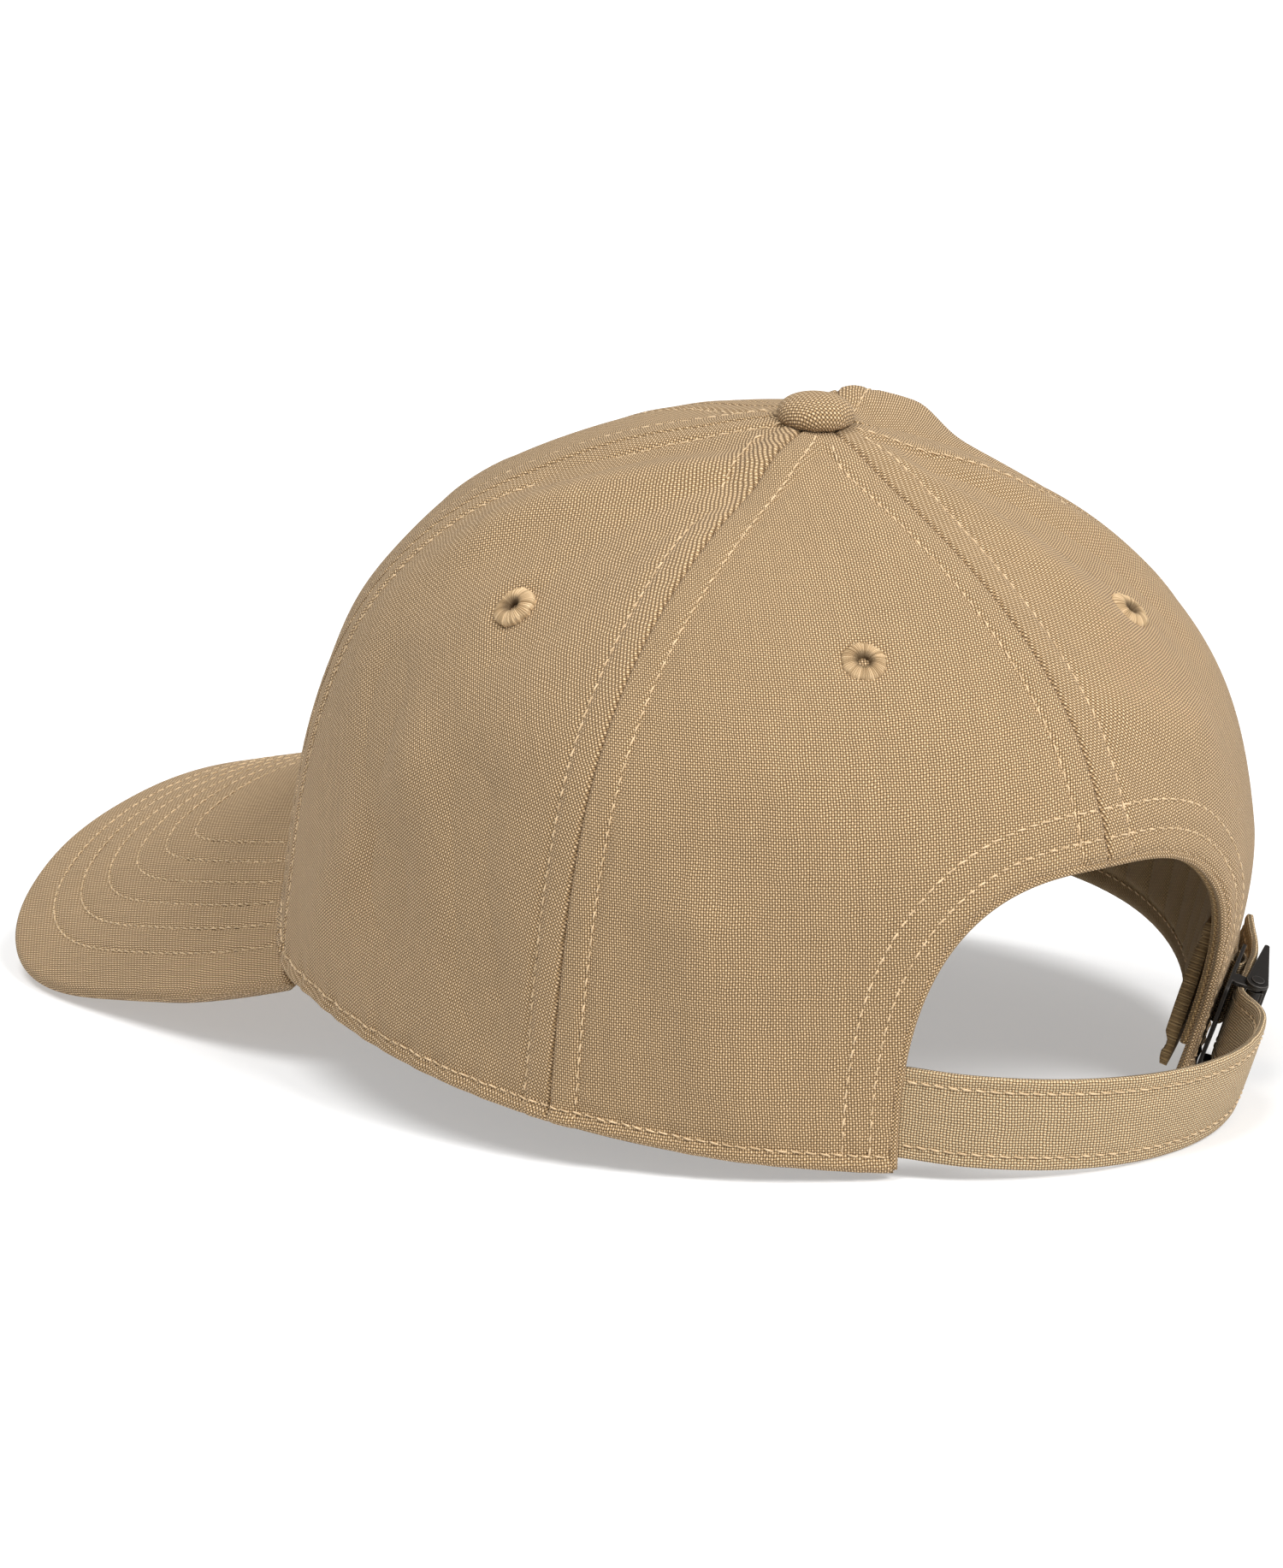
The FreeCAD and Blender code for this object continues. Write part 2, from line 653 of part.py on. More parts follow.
# ---------------------------------------------------------------- assembly
def build():
    parts = {}
    sides = {"left": 1.0, "right": -1.0}
    opening = arch_cutter()
    for side, sign in sides.items():
        parts["front_panel_" + side] = panel(0.0, sign * SIDE_SEAM)
        parts["side_panel_" + side] = panel(sign * SIDE_SEAM, sign * BACK_SEAM)
        parts["back_panel_" + side] = panel(sign * BACK_SEAM, sign * 180.0).cut(opening)
        parts["buckram_" + side] = buckram(sign * 0.3, sign * (SIDE_SEAM - 0.5))
        for place, (angle, z) in EYELETS.items():
            inner_depth = BUCKRAM[1] if place == "front" else PANEL[1]
            parts["eyelet_" + place + "_" + side] = eyelet(sign * angle, z, inner_depth)
            hole = eyelet_hole(sign * angle, z)
            name = place + "_panel_" + side
            parts[name] = parts[name].cut(hole)
            if place == "front":
                parts["buckram_" + side] = parts["buckram_" + side].cut(hole)

    front_low = rise_at_height(hem_height(0.0) + SWEATBAND_HEIGHT - TAPE_LAP)
    back_low = rise_at_height(ARCH_HEIGHT + BINDING_WIDTH + 2.0)
    side_low = rise_at_height(2.0)
    tapes = [("front", 0.0, TAPE_OVER_BUCKRAM, front_low), ("back", 180.0, TAPE, back_low)]
    for side, sign in sides.items():
        tapes.append(("front_" + side, sign * SIDE_SEAM, TAPE_OVER_BUCKRAM, side_low))
        tapes.append(("rear_" + side, sign * BACK_SEAM, TAPE, side_low))
    for place, angle, depths, low in tapes:
        parts["seam_tape_" + place] = seam_tape(angle, depths, low, rise_near_top(abs(angle), TAPE_TOP))

    parts["sweatband"] = sweatband()
    parts["arch_binding"] = arch_binding()
    parts["button_cover"], parts["button_shell"], parts["button_tack"] = button()
    parts["visor_board"], parts["visor_top_cover"], parts["visor_under_cover"] = visor()
    parts["strap"] = strap()
    parts["anchor_tab"] = anchor_tab()
    parts["clasp_base"] = in_clasp(clasp_base())
    parts["clasp_pin"] = in_clasp(clasp_pin())
    parts["clasp_lever"] = in_clasp(clasp_lever())
    return parts


def laid_down(parts):
    """Tip the cap onto the surface it lies on, and centre it over the origin."""
    box = FreeCAD.BoundBox()
    for name, shape in parts.items():
        shape.rotate(Vector(0, 0, 0), Vector(1, 0, 0), -REST_TILT)
        box.add(shape.optimalBoundingBox(False))
    shift = Vector(-box.Center.x, -box.Center.y, -box.ZMin)
    for shape in parts.values():
        shape.translate(shift)
    return shift, box


if __name__ == "__main__":
    os.makedirs("parts", exist_ok=True)
    pieces = build()
    offset, extent = laid_down(pieces)
    hinge = clasp_point(PIN[0], 0, PIN[1])
    hinge_axis = clasp_frame()[2]
    turn = FreeCAD.Rotation(Vector(1, 0, 0), -REST_TILT)
    print("shift", offset, "size", extent.XLength, extent.YLength, extent.ZLength)
    print("brim plane origin", offset, "up", turn.multVec(Vector(0, 0, 1)))
    print("hinge", turn.multVec(hinge) + offset, "axis", turn.multVec(hinge_axis))
    for name, shape in pieces.items():
        shape.exportStep(os.path.join("parts", name + ".step"))
        print(name, round(shape.Volume, 1), len(shape.Solids), shape.isValid())
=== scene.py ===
"""Looks of the six-panel baseball cap: woven cloth, sewn seams, stitches and the clasp's metal.

Shapes are worked out in millimetres in the cap's wearing frame (brim line at z = 0, front of the
head at -Y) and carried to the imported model's frame by the head opening's mount. An angle round the
crown is 0 at the front, 90 at the wearer's left and 180 at the back.
"""
import json
import math

import bpy
import numpy as np
from mathutils import Matrix, Vector


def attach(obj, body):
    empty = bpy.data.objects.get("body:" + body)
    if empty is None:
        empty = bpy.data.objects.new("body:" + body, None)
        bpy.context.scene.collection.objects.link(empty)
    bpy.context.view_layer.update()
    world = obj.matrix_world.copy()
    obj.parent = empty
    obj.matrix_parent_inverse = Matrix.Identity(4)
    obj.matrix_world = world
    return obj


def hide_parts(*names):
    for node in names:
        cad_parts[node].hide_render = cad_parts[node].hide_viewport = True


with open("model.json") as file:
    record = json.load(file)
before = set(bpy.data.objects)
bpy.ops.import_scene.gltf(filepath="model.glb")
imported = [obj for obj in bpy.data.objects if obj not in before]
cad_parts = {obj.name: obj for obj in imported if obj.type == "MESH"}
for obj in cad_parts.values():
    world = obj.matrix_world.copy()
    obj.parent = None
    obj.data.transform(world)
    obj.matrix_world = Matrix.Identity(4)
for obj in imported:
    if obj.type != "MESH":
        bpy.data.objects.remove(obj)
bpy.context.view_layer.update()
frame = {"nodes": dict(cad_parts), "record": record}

MM = 0.001

# ---------------------------------------------------------------- dimensions shared with the CAD part
HALF_WIDTH = 80.7
HALF_LENGTH = 98.2
CROWN_HEIGHT = 111.5
TOP_SHIFT = 9.1
OVAL_POWER = 0.97
TAPER = (1.379, -0.468, 0.067, 0.057)
ROUNDNESS = (0.510, 0.105, 0.048)
FLARE = (0.047, -0.017)
SIDE_SEAM = 53.8
BACK_SEAM = 112.9
SEAMS = (0.0, SIDE_SEAM, -SIDE_SEAM, BACK_SEAM, -BACK_SEAM, 180.0, -180.0)
BUTTON_GAP = 0.055
TUCK = 11.8
TUCK_ANGLE = -147.0
TUCK_SPREAD = 50.0
TUCK_HEIGHT = 42.0
HEM_LIFT = 6.0
HEM_LIFT_ANGLE = -93.0
HEM_LIFT_SPREAD = 42.0
ARCH_ANGLE = 28.15
ARCH_HEIGHT = 53.0
ARCH_POWER = 2.9
BACK_RADIUS = 90.0
PANEL_THICK = 1.0
BUCKRAM = (1.1, 1.6)
TAPE = (1.1, 1.6)
TAPE_OVER_BUCKRAM = (1.7, 2.2)
BINDING = (1.1, 1.9)
SWEATBAND = (3.6, 4.8)
TAPE_HALF_WIDTH = 8.0
TAPE_TOP = 0.27
TAPE_LAP = 12.0
BINDING_WIDTH = 10.0
SWEATBAND_HEIGHT = 30.0
SWEATBAND_END = 150.5
EYELETS = {"front": (27.0, 88.0), "side": (88.7, 85.0), "back": (147.6, 86.5)}
EYELET_BORE = 1.0
EYELET_REACH = 4.05        # radius of the sewn ring
BUTTON_RADIUS = 7.6
BUTTON_HEIGHT = 5.8
VISOR_ROLL = 101.0
VISOR_RISE = 14.4
VISOR_FRONT = -101.0
VISOR_SLOPE = 0.28
VISOR_DROOP = 0.0006
VISOR_HALF_SPAN = 88.7
VISOR_WIDEST = -104.0
VISOR_REACH = 78.1
VISOR_POWERS = (2.05, 2.82)
VISOR_WAIST = 7.3
VISOR_WAIST_LENGTH = 54.0
VISOR_END = 58.5
VISOR_HALF = 1.9
STRAP_HALF_WIDTH = 8.4
STRAP_HALF_THICK = 0.85
STRAP_HEIGHT = 11.2
STRAP_DROP = 1.6
STRAP_BOW_RADIUS = 46.5
STRAP_BOW_CENTRE = (-1.5, 68.3)
STRAP_BOW_TURN = (48.5, -52.0)
STRAP_SEWN = (141.5, 144.5, 147.5, 149.7)
STRAP_DEPTH = 2.45
CLASP_ANGLE = -142.5
CLASP_HEIGHT = 10.6
CLASP_RISE = 8.0
CLASP_MIDDLE = 10.0
STRAP_IN_CLASP = 3.55
TAB_HALF_WIDTH = 6.8
TAB_HALF_THICK = 0.35
STRAP_TAIL = ((22.5, 3.4), (27.0, 2.6), (31.0, 2.2))

# ---------------------------------------------------------------- sewing, in millimetres
SEAM_ROW = 5.6             # topstitching beside each seam
HEM_ROW = 3.2              # stitching above the lower edge
ARCH_ROWS = (4.4, 9.2)     # stitching round the rear opening
VISOR_ROWS = [10.0 + 6.2 * k for k in range(6)]
STITCH = 2.0               # thread shown by each stitch
STITCH_PITCH = 2.5
STITCH_LEAN = 0.12         # sideways run of a stitch, as a share of its length
THREAD = 0.19              # half the thread's width
WEAVE = 0.49               # spacing of the canvas threads
ROW_TOP = 0.10             # how far from the crown's top the topstitching ends
ROW_LIMIT = 24.0           # near the top a row stays within this many degrees of its seam
CLIMB = 1.15               # length up the crown for a millimetre of height, roughly
HEM_DEGREE = 1.55          # length of a degree along the hem, roughly
ARCH_DEGREE_SQUARED = 2.4  # the same beside the rear opening, squared
HEM_EASE = 15.0            # degrees over which the hem comes down behind the visor
ARCH_LENGTH = 170.0        # length of the rear opening's edge, roughly
RISE_LENGTH = 110.0        # length up the crown for a radian of rise, roughly
VISOR_FRONT_SHARE = 0.7    # share of the visor's outline that is its curved front
VISOR_TURN_IN = 2.2        # the covers run on under the crown's hem
VISOR_EDGE = VISOR_HALF + 0.25
COVER_THICK = 0.7
BOARD_CLEAR = 1.15         # the covers stay this far from the middle layer, over the board
BOARD_CLEAR_LENGTHS = (25.0, 45.0)   # where the visor is longer than this they don't need to


# ---------------------------------------------------------------- helpers
def series(terms, angle):
    """Cosine series round the crown."""
    return sum(term * np.cos(k * np.radians(angle)) for k, term in enumerate(terms))


def smooth(value):
    """0 below 0, 1 above 1 and eased between them."""
    value = np.clip(value, 0.0, 1.0)
    return value * value * (3 - 2 * value)


def hump(value):
    """1 at 0, falling to 0 at -1 and 1."""
    return np.cos(np.clip(value, -1, 1) * np.pi / 2) ** 2


def bump(distance, width):
    """1 at no distance, fading over a width."""
    return np.exp(-(distance / width) ** 2)


def unit(vectors):
    return vectors / np.maximum(np.linalg.norm(vectors, axis=-1, keepdims=True), 1e-12)


def dot(a, b):
    return (a * b).sum(-1)


def mixed(a, b, share):
    return a + (b - a) * share


def lengths_along(line):
    """Length of a line up to each of its points."""
    return np.concatenate([[0], np.cumsum(np.linalg.norm(np.diff(line, axis=0), axis=1))])


def spline(knots, values, at):
    """Natural cubic spline through values (n, k) at knots (n)."""
    knots = np.asarray(knots, float)
    values = np.asarray(values, float)
    step = np.diff(knots)
    slope = np.diff(values, axis=0) / step[:, None]
    size = len(knots)
    matrix = np.eye(size)
    right = np.zeros_like(values)
    for i in range(1, size - 1):
        matrix[i, i - 1:i + 2] = step[i - 1], 2 * (step[i - 1] + step[i]), step[i]
        right[i] = 6 * (slope[i] - slope[i - 1])
    bend = np.linalg.solve(matrix, right)
    at = np.clip(at, knots[0], knots[-1])
    cell = np.clip(np.searchsorted(knots, at, side="right") - 1, 0, size - 2)
    width = step[cell][:, None]
    after = (at - knots[cell])[:, None]
    before = (knots[cell + 1] - at)[:, None]
    return (bend[cell] * before ** 3 + bend[cell + 1] * after ** 3) / (6 * width) \
        + (values[cell] / width - bend[cell] * width / 6) * before \
        + (values[cell + 1] / width - bend[cell + 1] * width / 6) * after


# ---------------------------------------------------------------- the cap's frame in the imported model
HEAD = next(m for m in frame["record"]["mounts"] if m["name"] == "head_opening")
HEAD_UP = -np.array(HEAD["axis"])
HEAD_TILT = math.atan2(HEAD_UP[1], HEAD_UP[2])
TURN = np.array([[1, 0, 0],
                 [0, math.cos(HEAD_TILT), math.sin(HEAD_TILT)],
                 [0, -math.sin(HEAD_TILT), math.cos(HEAD_TILT)]])


def placed(points):
    """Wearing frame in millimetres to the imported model's frame in metres."""
    return np.asarray(points) @ TURN.T * MM + np.array(HEAD["pos_m"])


# ---------------------------------------------------------------- crown surface
def tuck(angle, z):
    """How far the strap pulls the right rear corner in, as a displacement."""
    fade = np.clip(1 - np.maximum(z, 0.0) / TUCK_HEIGHT, 0, 1) ** 1.5
    amount = TUCK * fade * hump((angle - TUCK_ANGLE) / TUCK_SPREAD)
    turn = np.radians(angle)
    return np.stack([-np.sin(turn) * amount, np.cos(turn) * amount, 0 * amount], -1)


def crown(angle, rise):
    """Points of the crown's outer surface. rise is 0 at the brim line and 90 degrees at the top."""
    angle, rise = np.broadcast_arrays(np.asarray(angle, float), np.asarray(rise, float))
    turn = np.radians(angle)
    height = np.sin(rise)
    inward = (1 - np.maximum(height, 0.0) ** (2 / series(ROUNDNESS, angle))) ** (series(TAPER, angle) / 2)
    inward = inward * (1 + series(FLARE, angle) * (1 - height) ** 2)
    size = np.abs(np.sin(turn)) ** (2 / OVAL_POWER) + np.abs(np.cos(turn)) ** (2 / OVAL_POWER)
    size = size ** (-OVAL_POWER / 2)
    x = HALF_WIDTH * np.sin(turn) * size * inward
    y = -HALF_LENGTH * np.cos(turn) * size * inward + TOP_SHIFT * height * height
    return np.stack([x, y, CROWN_HEIGHT * height], -1) + tuck(angle, CROWN_HEIGHT * height)


def crown_axes(angle, rise):
    """Unit vectors round and up the crown and outwards, and the length of one degree."""
    across = crown(angle + 0.05, rise) - crown(angle - 0.05, rise)
    up = crown(angle, rise + 0.0005) - crown(angle, rise - 0.0005)
    degree = np.linalg.norm(across, axis=-1) / 0.1
    across = unit(across)
    up = unit(up)
    return across, up, unit(np.cross(across, up)), degree


def rise_at(z):
    return np.arcsin(np.clip(np.asarray(z, float) / CROWN_HEIGHT, -1, 1))


def rise_near_top(angle, share):
    """Rise at which the crown has drawn in to a share of its width."""
    inner = 1 - share ** (2 / series(TAPER, angle))
    return np.arcsin(inner ** (series(ROUNDNESS, angle) / 2))


def beyond_arch(angle, z):
    """How far a point of the crown lies outside the rear opening's edge, along the surface."""
    away = 180 - np.abs(angle)
    low = np.full(np.shape(away), -40.0)
    high = np.full(np.shape(away), 120.0)
    per_mm = math.degrees(1 / BACK_RADIUS)
    for _ in range(24):
        middle = (low + high) / 2
        reach = np.maximum(ARCH_ANGLE + per_mm * middle, 0.1)
        tall = np.maximum(ARCH_HEIGHT + middle, 0.1)
        outside = (away / reach) ** ARCH_POWER + (np.maximum(z, 0) / tall) ** ARCH_POWER > 1
        low = np.where(outside, middle, low)
        high = np.where(outside, high, middle)
    return (low + high) / 2


def arch_at(t, outward):
    """Crown angle and height on the arch, t from 0 on the left to 1 on the right."""
    turn = np.pi * np.asarray(t, float)
    reach = ARCH_ANGLE + np.degrees(outward / BACK_RADIUS)
    away = reach * np.sign(np.cos(turn)) * np.abs(np.cos(turn)) ** (2 / ARCH_POWER)
    z = (ARCH_HEIGHT + outward) * np.maximum(np.sin(turn), 0) ** (2 / ARCH_POWER)
    return np.where(away >= 0, 180.0 - away, -180.0 - away), z


# ---------------------------------------------------------------- visor surface
def visor_sheet(across, y, above):
    """Points at a height above the visor's middle layer, and their upward directions."""
    turn = across / VISOR_ROLL
    ahead = y - VISOR_FRONT
    centre = VISOR_RISE + VISOR_SLOPE * ahead - VISOR_DROOP * ahead * ahead - VISOR_ROLL
    slope = VISOR_SLOPE - 2 * VISOR_DROOP * ahead
    outward = unit(np.stack([np.sin(turn), -slope * np.cos(turn), np.cos(turn)], -1))
    middle = np.stack([VISOR_ROLL * np.sin(turn), y, centre + VISOR_ROLL * np.cos(turn)], -1)
    return middle + outward * np.asarray(above)[..., None], outward


def visor_inner(angle, depth=PANEL_THICK):
    """Sheet coordinates of the visor's seam, at a depth below the crown's outer face."""
    across, up, outward, degree = crown_axes(angle, 0.0 * angle)
    point = crown(angle, 0.0 * angle) - outward * depth
    return VISOR_ROLL * np.arcsin(point[..., 0] / VISOR_ROLL), point[..., 1]


def visor_outer(u):
    """Sheet coordinates of the visor's outline, u from -1 on the right to 1 on the left."""
    share = np.abs(u) / VISOR_FRONT_SHARE
    turn = np.clip(share, 0, 1) * np.pi / 2
    back = np.clip((np.abs(u) - VISOR_FRONT_SHARE) / (1 - VISOR_FRONT_SHARE), 0, 1)
    front = VISOR_HALF_SPAN * np.sin(turn) ** (2 / VISOR_POWERS[0])
    reach = VISOR_WIDEST - VISOR_REACH * np.maximum(np.cos(turn), 0) ** (2 / VISOR_POWERS[1])
    across = np.where(share <= 1, front, VISOR_HALF_SPAN - VISOR_WAIST * back ** 2.3)
    return np.sign(u) * across, np.where(share <= 1, reach, VISOR_WIDEST + VISOR_WAIST_LENGTH * back)


def hem_height(angle):
    """Height of the crown's lower edge above the brim line."""
    over = np.minimum(np.abs(angle), VISOR_END)
    across, y = visor_inner(over)
    top = visor_sheet(across, y, np.full(np.shape(over), VISOR_HALF))[0][..., 2] + 0.1
    lift = HEM_LIFT * hump((angle - HEM_LIFT_ANGLE) / HEM_LIFT_SPREAD)
    return top * (1 - smooth((np.abs(angle) - VISOR_END) / HEM_EASE)) + lift


# ---------------------------------------------------------------- relief of the sewn cloth
def fold(points, start, end, width, height):
    """A soft ridge (or valley, if height is negative) between two points of the crown."""
    a = crown(*start)
    b = crown(*end)
    along = np.clip(dot(points - a, b - a) / dot(b - a, b - a), -0.3, 1.3)
    distance = np.linalg.norm(points - (a + (b - a) * along[..., None]), axis=-1)
    fade = smooth((along + 0.3) / 0.35) * smooth((1.3 - along) / 0.6)
    return height * fade * bump(distance, width)


FOLD_DEPTH = 1.6
# (start angle, start rise), (end angle, end rise), width, height
FOLDS = [
    ((100, 1.32), (70, 0.92), 6.0, 1.5),
    ((88, 1.34), (58, 1.08), 5.0, -1.1),
    ((104, 1.24), (92, 0.78), 6.5, -1.4),
    ((78, 1.10), (62, 0.70), 7.0, 0.9),
    ((-150, 1.30), (-158, 0.85), 6.0, 1.3),
    ((-135, 1.30), (-140, 0.80), 6.0, -1.4),
    ((-122, 1.32), (-124, 0.90), 5.0, 1.2),
    ((-60, 1.36), (-75, 1.15), 6.0, 2.4),
    ((-95, 1.36), (-100, 1.10), 6.0, -1.5),
    ((74, 0.62), (86, 0.22), 8.0, -1.3),
    ((84, 0.50), (70, 0.12), 8.0, 1.0),
    ((96, 0.50), (104, 0.10), 8.0, -1.1),
    ((128, 0.40), (134, 0.05), 9.0, 0.9),
    ((-170, 0.75), (-150, 0.62), 7.0, 1.0),
]


def relief(angle, rise, points, degree):
    """Height of the sewn cloth above the crown's plain surface."""
    z = CROWN_HEIGHT * np.sin(rise)
    to_seam = np.min([np.abs(angle - seam) for seam in SEAMS], axis=0) * degree
    ripple = np.cos(2 * np.pi * z * CLIMB / STITCH_PITCH)
    height = 0.42 * (1 - smooth((to_seam - 4.6) / 1.8))
    height = height - 0.65 * bump(to_seam, 0.42)
    from_axis = np.hypot(points[..., 0], points[..., 1] - TOP_SHIFT)
    height = height + 1.1 * (1 - smooth((from_axis - 7.0) / 16.0))
    height = height - bump(to_seam - SEAM_ROW, 0.85) * (0.30 + 0.10 * ripple)
    height = height + 0.10 * bump(to_seam - SEAM_ROW - 2.2, 1.0)

    above_hem = z - hem_height(angle)
    round_way = angle * HEM_DEGREE
    pucker = np.cos(2 * np.pi * round_way / 7.7) + 0.6 * np.cos(2 * np.pi * round_way / 4.9 + 1.0)
    height = height + 0.75 * bump(above_hem - 1.4, 1.2) - 0.55 * bump(above_hem - HEM_ROW, 0.8)
    height = height + 0.20 * pucker * bump(above_hem - 3.0, 3.5)
    height = height - 1.0 * bump(above_hem, 0.45)

    near = (180 - np.abs(angle) < 50) & (z < 80)
    if np.any(near):
        outside = np.full(np.shape(angle), 99.0)
        outside[near] = beyond_arch(angle[near], z[near])
        round_arch = np.cos(2 * np.pi * (z + np.abs(angle)) / STITCH_PITCH)
        height = height + 0.35 * (1 - smooth((outside - 9.0) / 2.0))
        for row in ARCH_ROWS:
            height = height - bump(outside - row, 0.8) * (0.34 + 0.08 * round_arch)
        height = height - 1.0 * bump(np.maximum(outside, 0), 0.6)
    for start, end, width, size in FOLDS:
        height = height + FOLD_DEPTH * fold(points, start, end, width, size)
    for place_angle, place_z in EYELETS.values():
        for sign in (1, -1):
            centre = crown(sign * place_angle, rise_at(place_z))
            reach = np.linalg.norm(points - centre, axis=-1)
            height = height - 0.5 * bump(reach, 4.2) + 0.28 * bump(reach - 6.5, 2.4)
    slow = np.sin(points[..., 0] * 0.11 + 2.0 * np.sin(points[..., 2] * 0.05)) * np.sin(
        points[..., 1] * 0.09 + points[..., 2] * 0.07)
    return height + 0.35 * slow * smooth(to_seam / 12.0)


def sewn(angle, rise, depth=0.0, with_relief=True):
    """Points of the sewn crown at a depth below its outer face, and their outward directions."""
    points = crown(angle, rise)
    across, up, outward, degree = crown_axes(angle, rise)
    height = relief(angle, rise, points, degree) if with_relief else 0.0 * angle
    return points + outward * (height - depth)[..., None], outward


# ---------------------------------------------------------------- meshes
def mesh_object(name, points, faces, uvs, material):
    """An object from millimetre points and per-vertex cloth coordinates, riding the cap."""
    mesh = bpy.data.meshes.new(name)
    mesh.from_pydata(placed(points).tolist(), [], faces)
    if uvs is not None:
        layer = mesh.uv_layers.new(name="cloth")
        corner = np.zeros(len(mesh.loops), np.int32)
        mesh.loops.foreach_get("vertex_index", corner)
        layer.data.foreach_set("uv", np.asarray(uvs, np.float32)[corner].ravel())
    mesh.polygons.foreach_set("use_smooth", np.ones(len(mesh.polygons), bool))
    mesh.validate()
    thing = bpy.data.objects.new(name, mesh)
    bpy.context.scene.collection.objects.link(thing)
    mesh.materials.append(material)
    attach(thing, "cap")
    return thing


def grid_faces(rows, columns, wrap=False, flip=False):
    """Quads of a grid of points numbered row by row."""
    i, j = np.meshgrid(np.arange(rows - 1), np.arange(columns if wrap else columns - 1), indexing="ij")
    after = (j + 1) % columns
    a = i * columns + j
    b = i * columns + after
    c = (i + 1) * columns + after
    d = (i + 1) * columns + j
    return np.stack([a, d, c, b] if flip else [a, b, c, d], -1).reshape(-1, 4)


def tube_faces(rows, around, flip):
    """Faces of a closed tube: its side, and one face over each end."""
    way = 1 if flip else -1
    last = (rows - 1) * around
    faces = grid_faces(rows, around, wrap=True, flip=flip).tolist()
    faces.append(list(range(around))[::way])
    faces.append(list(range(last, last + around))[::-way])
    return faces


def slab(outer, inner, keep=None):
    """Points and faces of a closed sheet between two grids of the same shape."""
    rows, columns = outer.shape[:2]
    count = rows * columns
    points = np.concatenate([outer.reshape(-1, 3), inner.reshape(-1, 3)])
    top = grid_faces(rows, columns)
    if keep is not None:
        top = top[keep[top].all(1)]
    edges = np.concatenate([top[:, [0, 1]], top[:, [1, 2]], top[:, [2, 3]], top[:, [3, 0]]])
    code = edges[:, 0] * (count + 1) + edges[:, 1]
    back = edges[:, 1] * (count + 1) + edges[:, 0]
    border = edges[~np.isin(code, back)]
    rim = np.stack([border[:, 1], border[:, 0], border[:, 0] + count, border[:, 1] + count], -1)
    faces = np.concatenate([top, top[:, ::-1] + count, rim])
    used = np.unique(faces)
    number = np.zeros(2 * count, int)
    number[used] = np.arange(len(used))
    return points[used], number[faces].tolist(), used % count


def sheet_object(name, outer, inner, uv, material, keep=None):
    """A closed cloth sheet. Its grids are turned if their order would face it inwards."""
    middle = outer.shape[0] // 2, outer.shape[1] // 2
    a = outer[middle[0] + 1, middle[1]] - outer[middle]
    b = outer[middle[0], middle[1] + 1] - outer[middle]
    if np.dot(np.cross(b, a), (outer - inner)[middle]) > 0:
        outer = outer[::-1]
        inner = inner[::-1]
        uv = uv[::-1]
        keep = None if keep is None else keep[::-1]
    kept = None if keep is None else keep.ravel()
    points, faces, source = slab(outer, inner, kept)
    return mesh_object(name, points, faces, uv.reshape(-1, 2)[source], material)


def stitches(name, rows, material, radius=THREAD):
    """Threads lying on the cloth. Each row is (points, outward directions) along its line."""
    along = np.linspace(-1, 1, 7)
    round_count = 6
    turn = np.arange(round_count) * 2 * np.pi / round_count
    thick = radius * np.sqrt(np.maximum(1 - np.abs(along) ** 4, 0.04))
    lift = radius * (0.65 - 1.5 * along ** 4)
    all_points = []
    all_faces = []
    first = 0
    for line, outward in rows:
        line = np.asarray(line)
        reach = lengths_along(line)
        if reach[-1] < STITCH_PITCH:
            continue
        count = int(reach[-1] / STITCH_PITCH)
        spacing = reach[-1] / count
        places = (np.arange(count) + 0.5) * spacing

        def sample(values, at):
            return np.stack([np.interp(at, reach, values[:, k]) for k in range(3)], -1)
        half = STITCH / 2 * spacing / STITCH_PITCH
        at = places[:, None] + along[None, :] * half
        centre = sample(line, at.ravel()).reshape(count, len(along), 3)
        out = unit(sample(np.asarray(outward), at.ravel())).reshape(count, len(along), 3)
        ahead = unit(centre[:, -1] - centre[:, 0])[:, None, :]
        side = unit(np.cross(ahead, out))
        centre = centre + out * lift[None, :, None] + side * (along * half * STITCH_LEAN)[None, :, None]
        ring = (side[:, :, None, :] * np.cos(turn)[None, None, :, None]
                + out[:, :, None, :] * np.sin(turn)[None, None, :, None])
        points = centre[:, :, None, :] + ring * thick[None, :, None, None]
        tube = grid_faces(len(along), round_count, wrap=True)
        size = len(along) * round_count
        start = np.arange(count)[:, None, None] * size + first
        all_faces.extend((tube[None] + start).reshape(-1, 4).tolist())
        for cap_ring, order in ((0, 1), (len(along) - 1, -1)):
            cap = (np.arange(round_count) + cap_ring * round_count)[::order]
            all_faces.extend((cap[None] + start[:, :, 0]).tolist())
        all_points.append(points.reshape(-1, 3))
        first += count * size
    return mesh_object(name, np.concatenate(all_points), all_faces, None, material)


def tube(name, line, outward, radius, material):
    """A rolled edge along a line."""
    round_count = 14
    ahead = unit(np.gradient(line, axis=0))
    side = unit(np.cross(ahead, outward))
    out = np.cross(side, ahead)
    turn = np.arange(round_count) * 2 * np.pi / round_count
    ring = side[:, None] * np.cos(turn)[None, :, None] + out[:, None] * np.sin(turn)[None, :, None]
    points = line[:, None] + ring * radius
    reach = lengths_along(line)
    uv = np.stack(np.broadcast_arrays(reach[:, None], turn[None, :] * radius), -1)
    faces = tube_faces(len(line), round_count, True)
    return mesh_object(name, points.reshape(-1, 3), faces, uv.reshape(-1, 2), material)


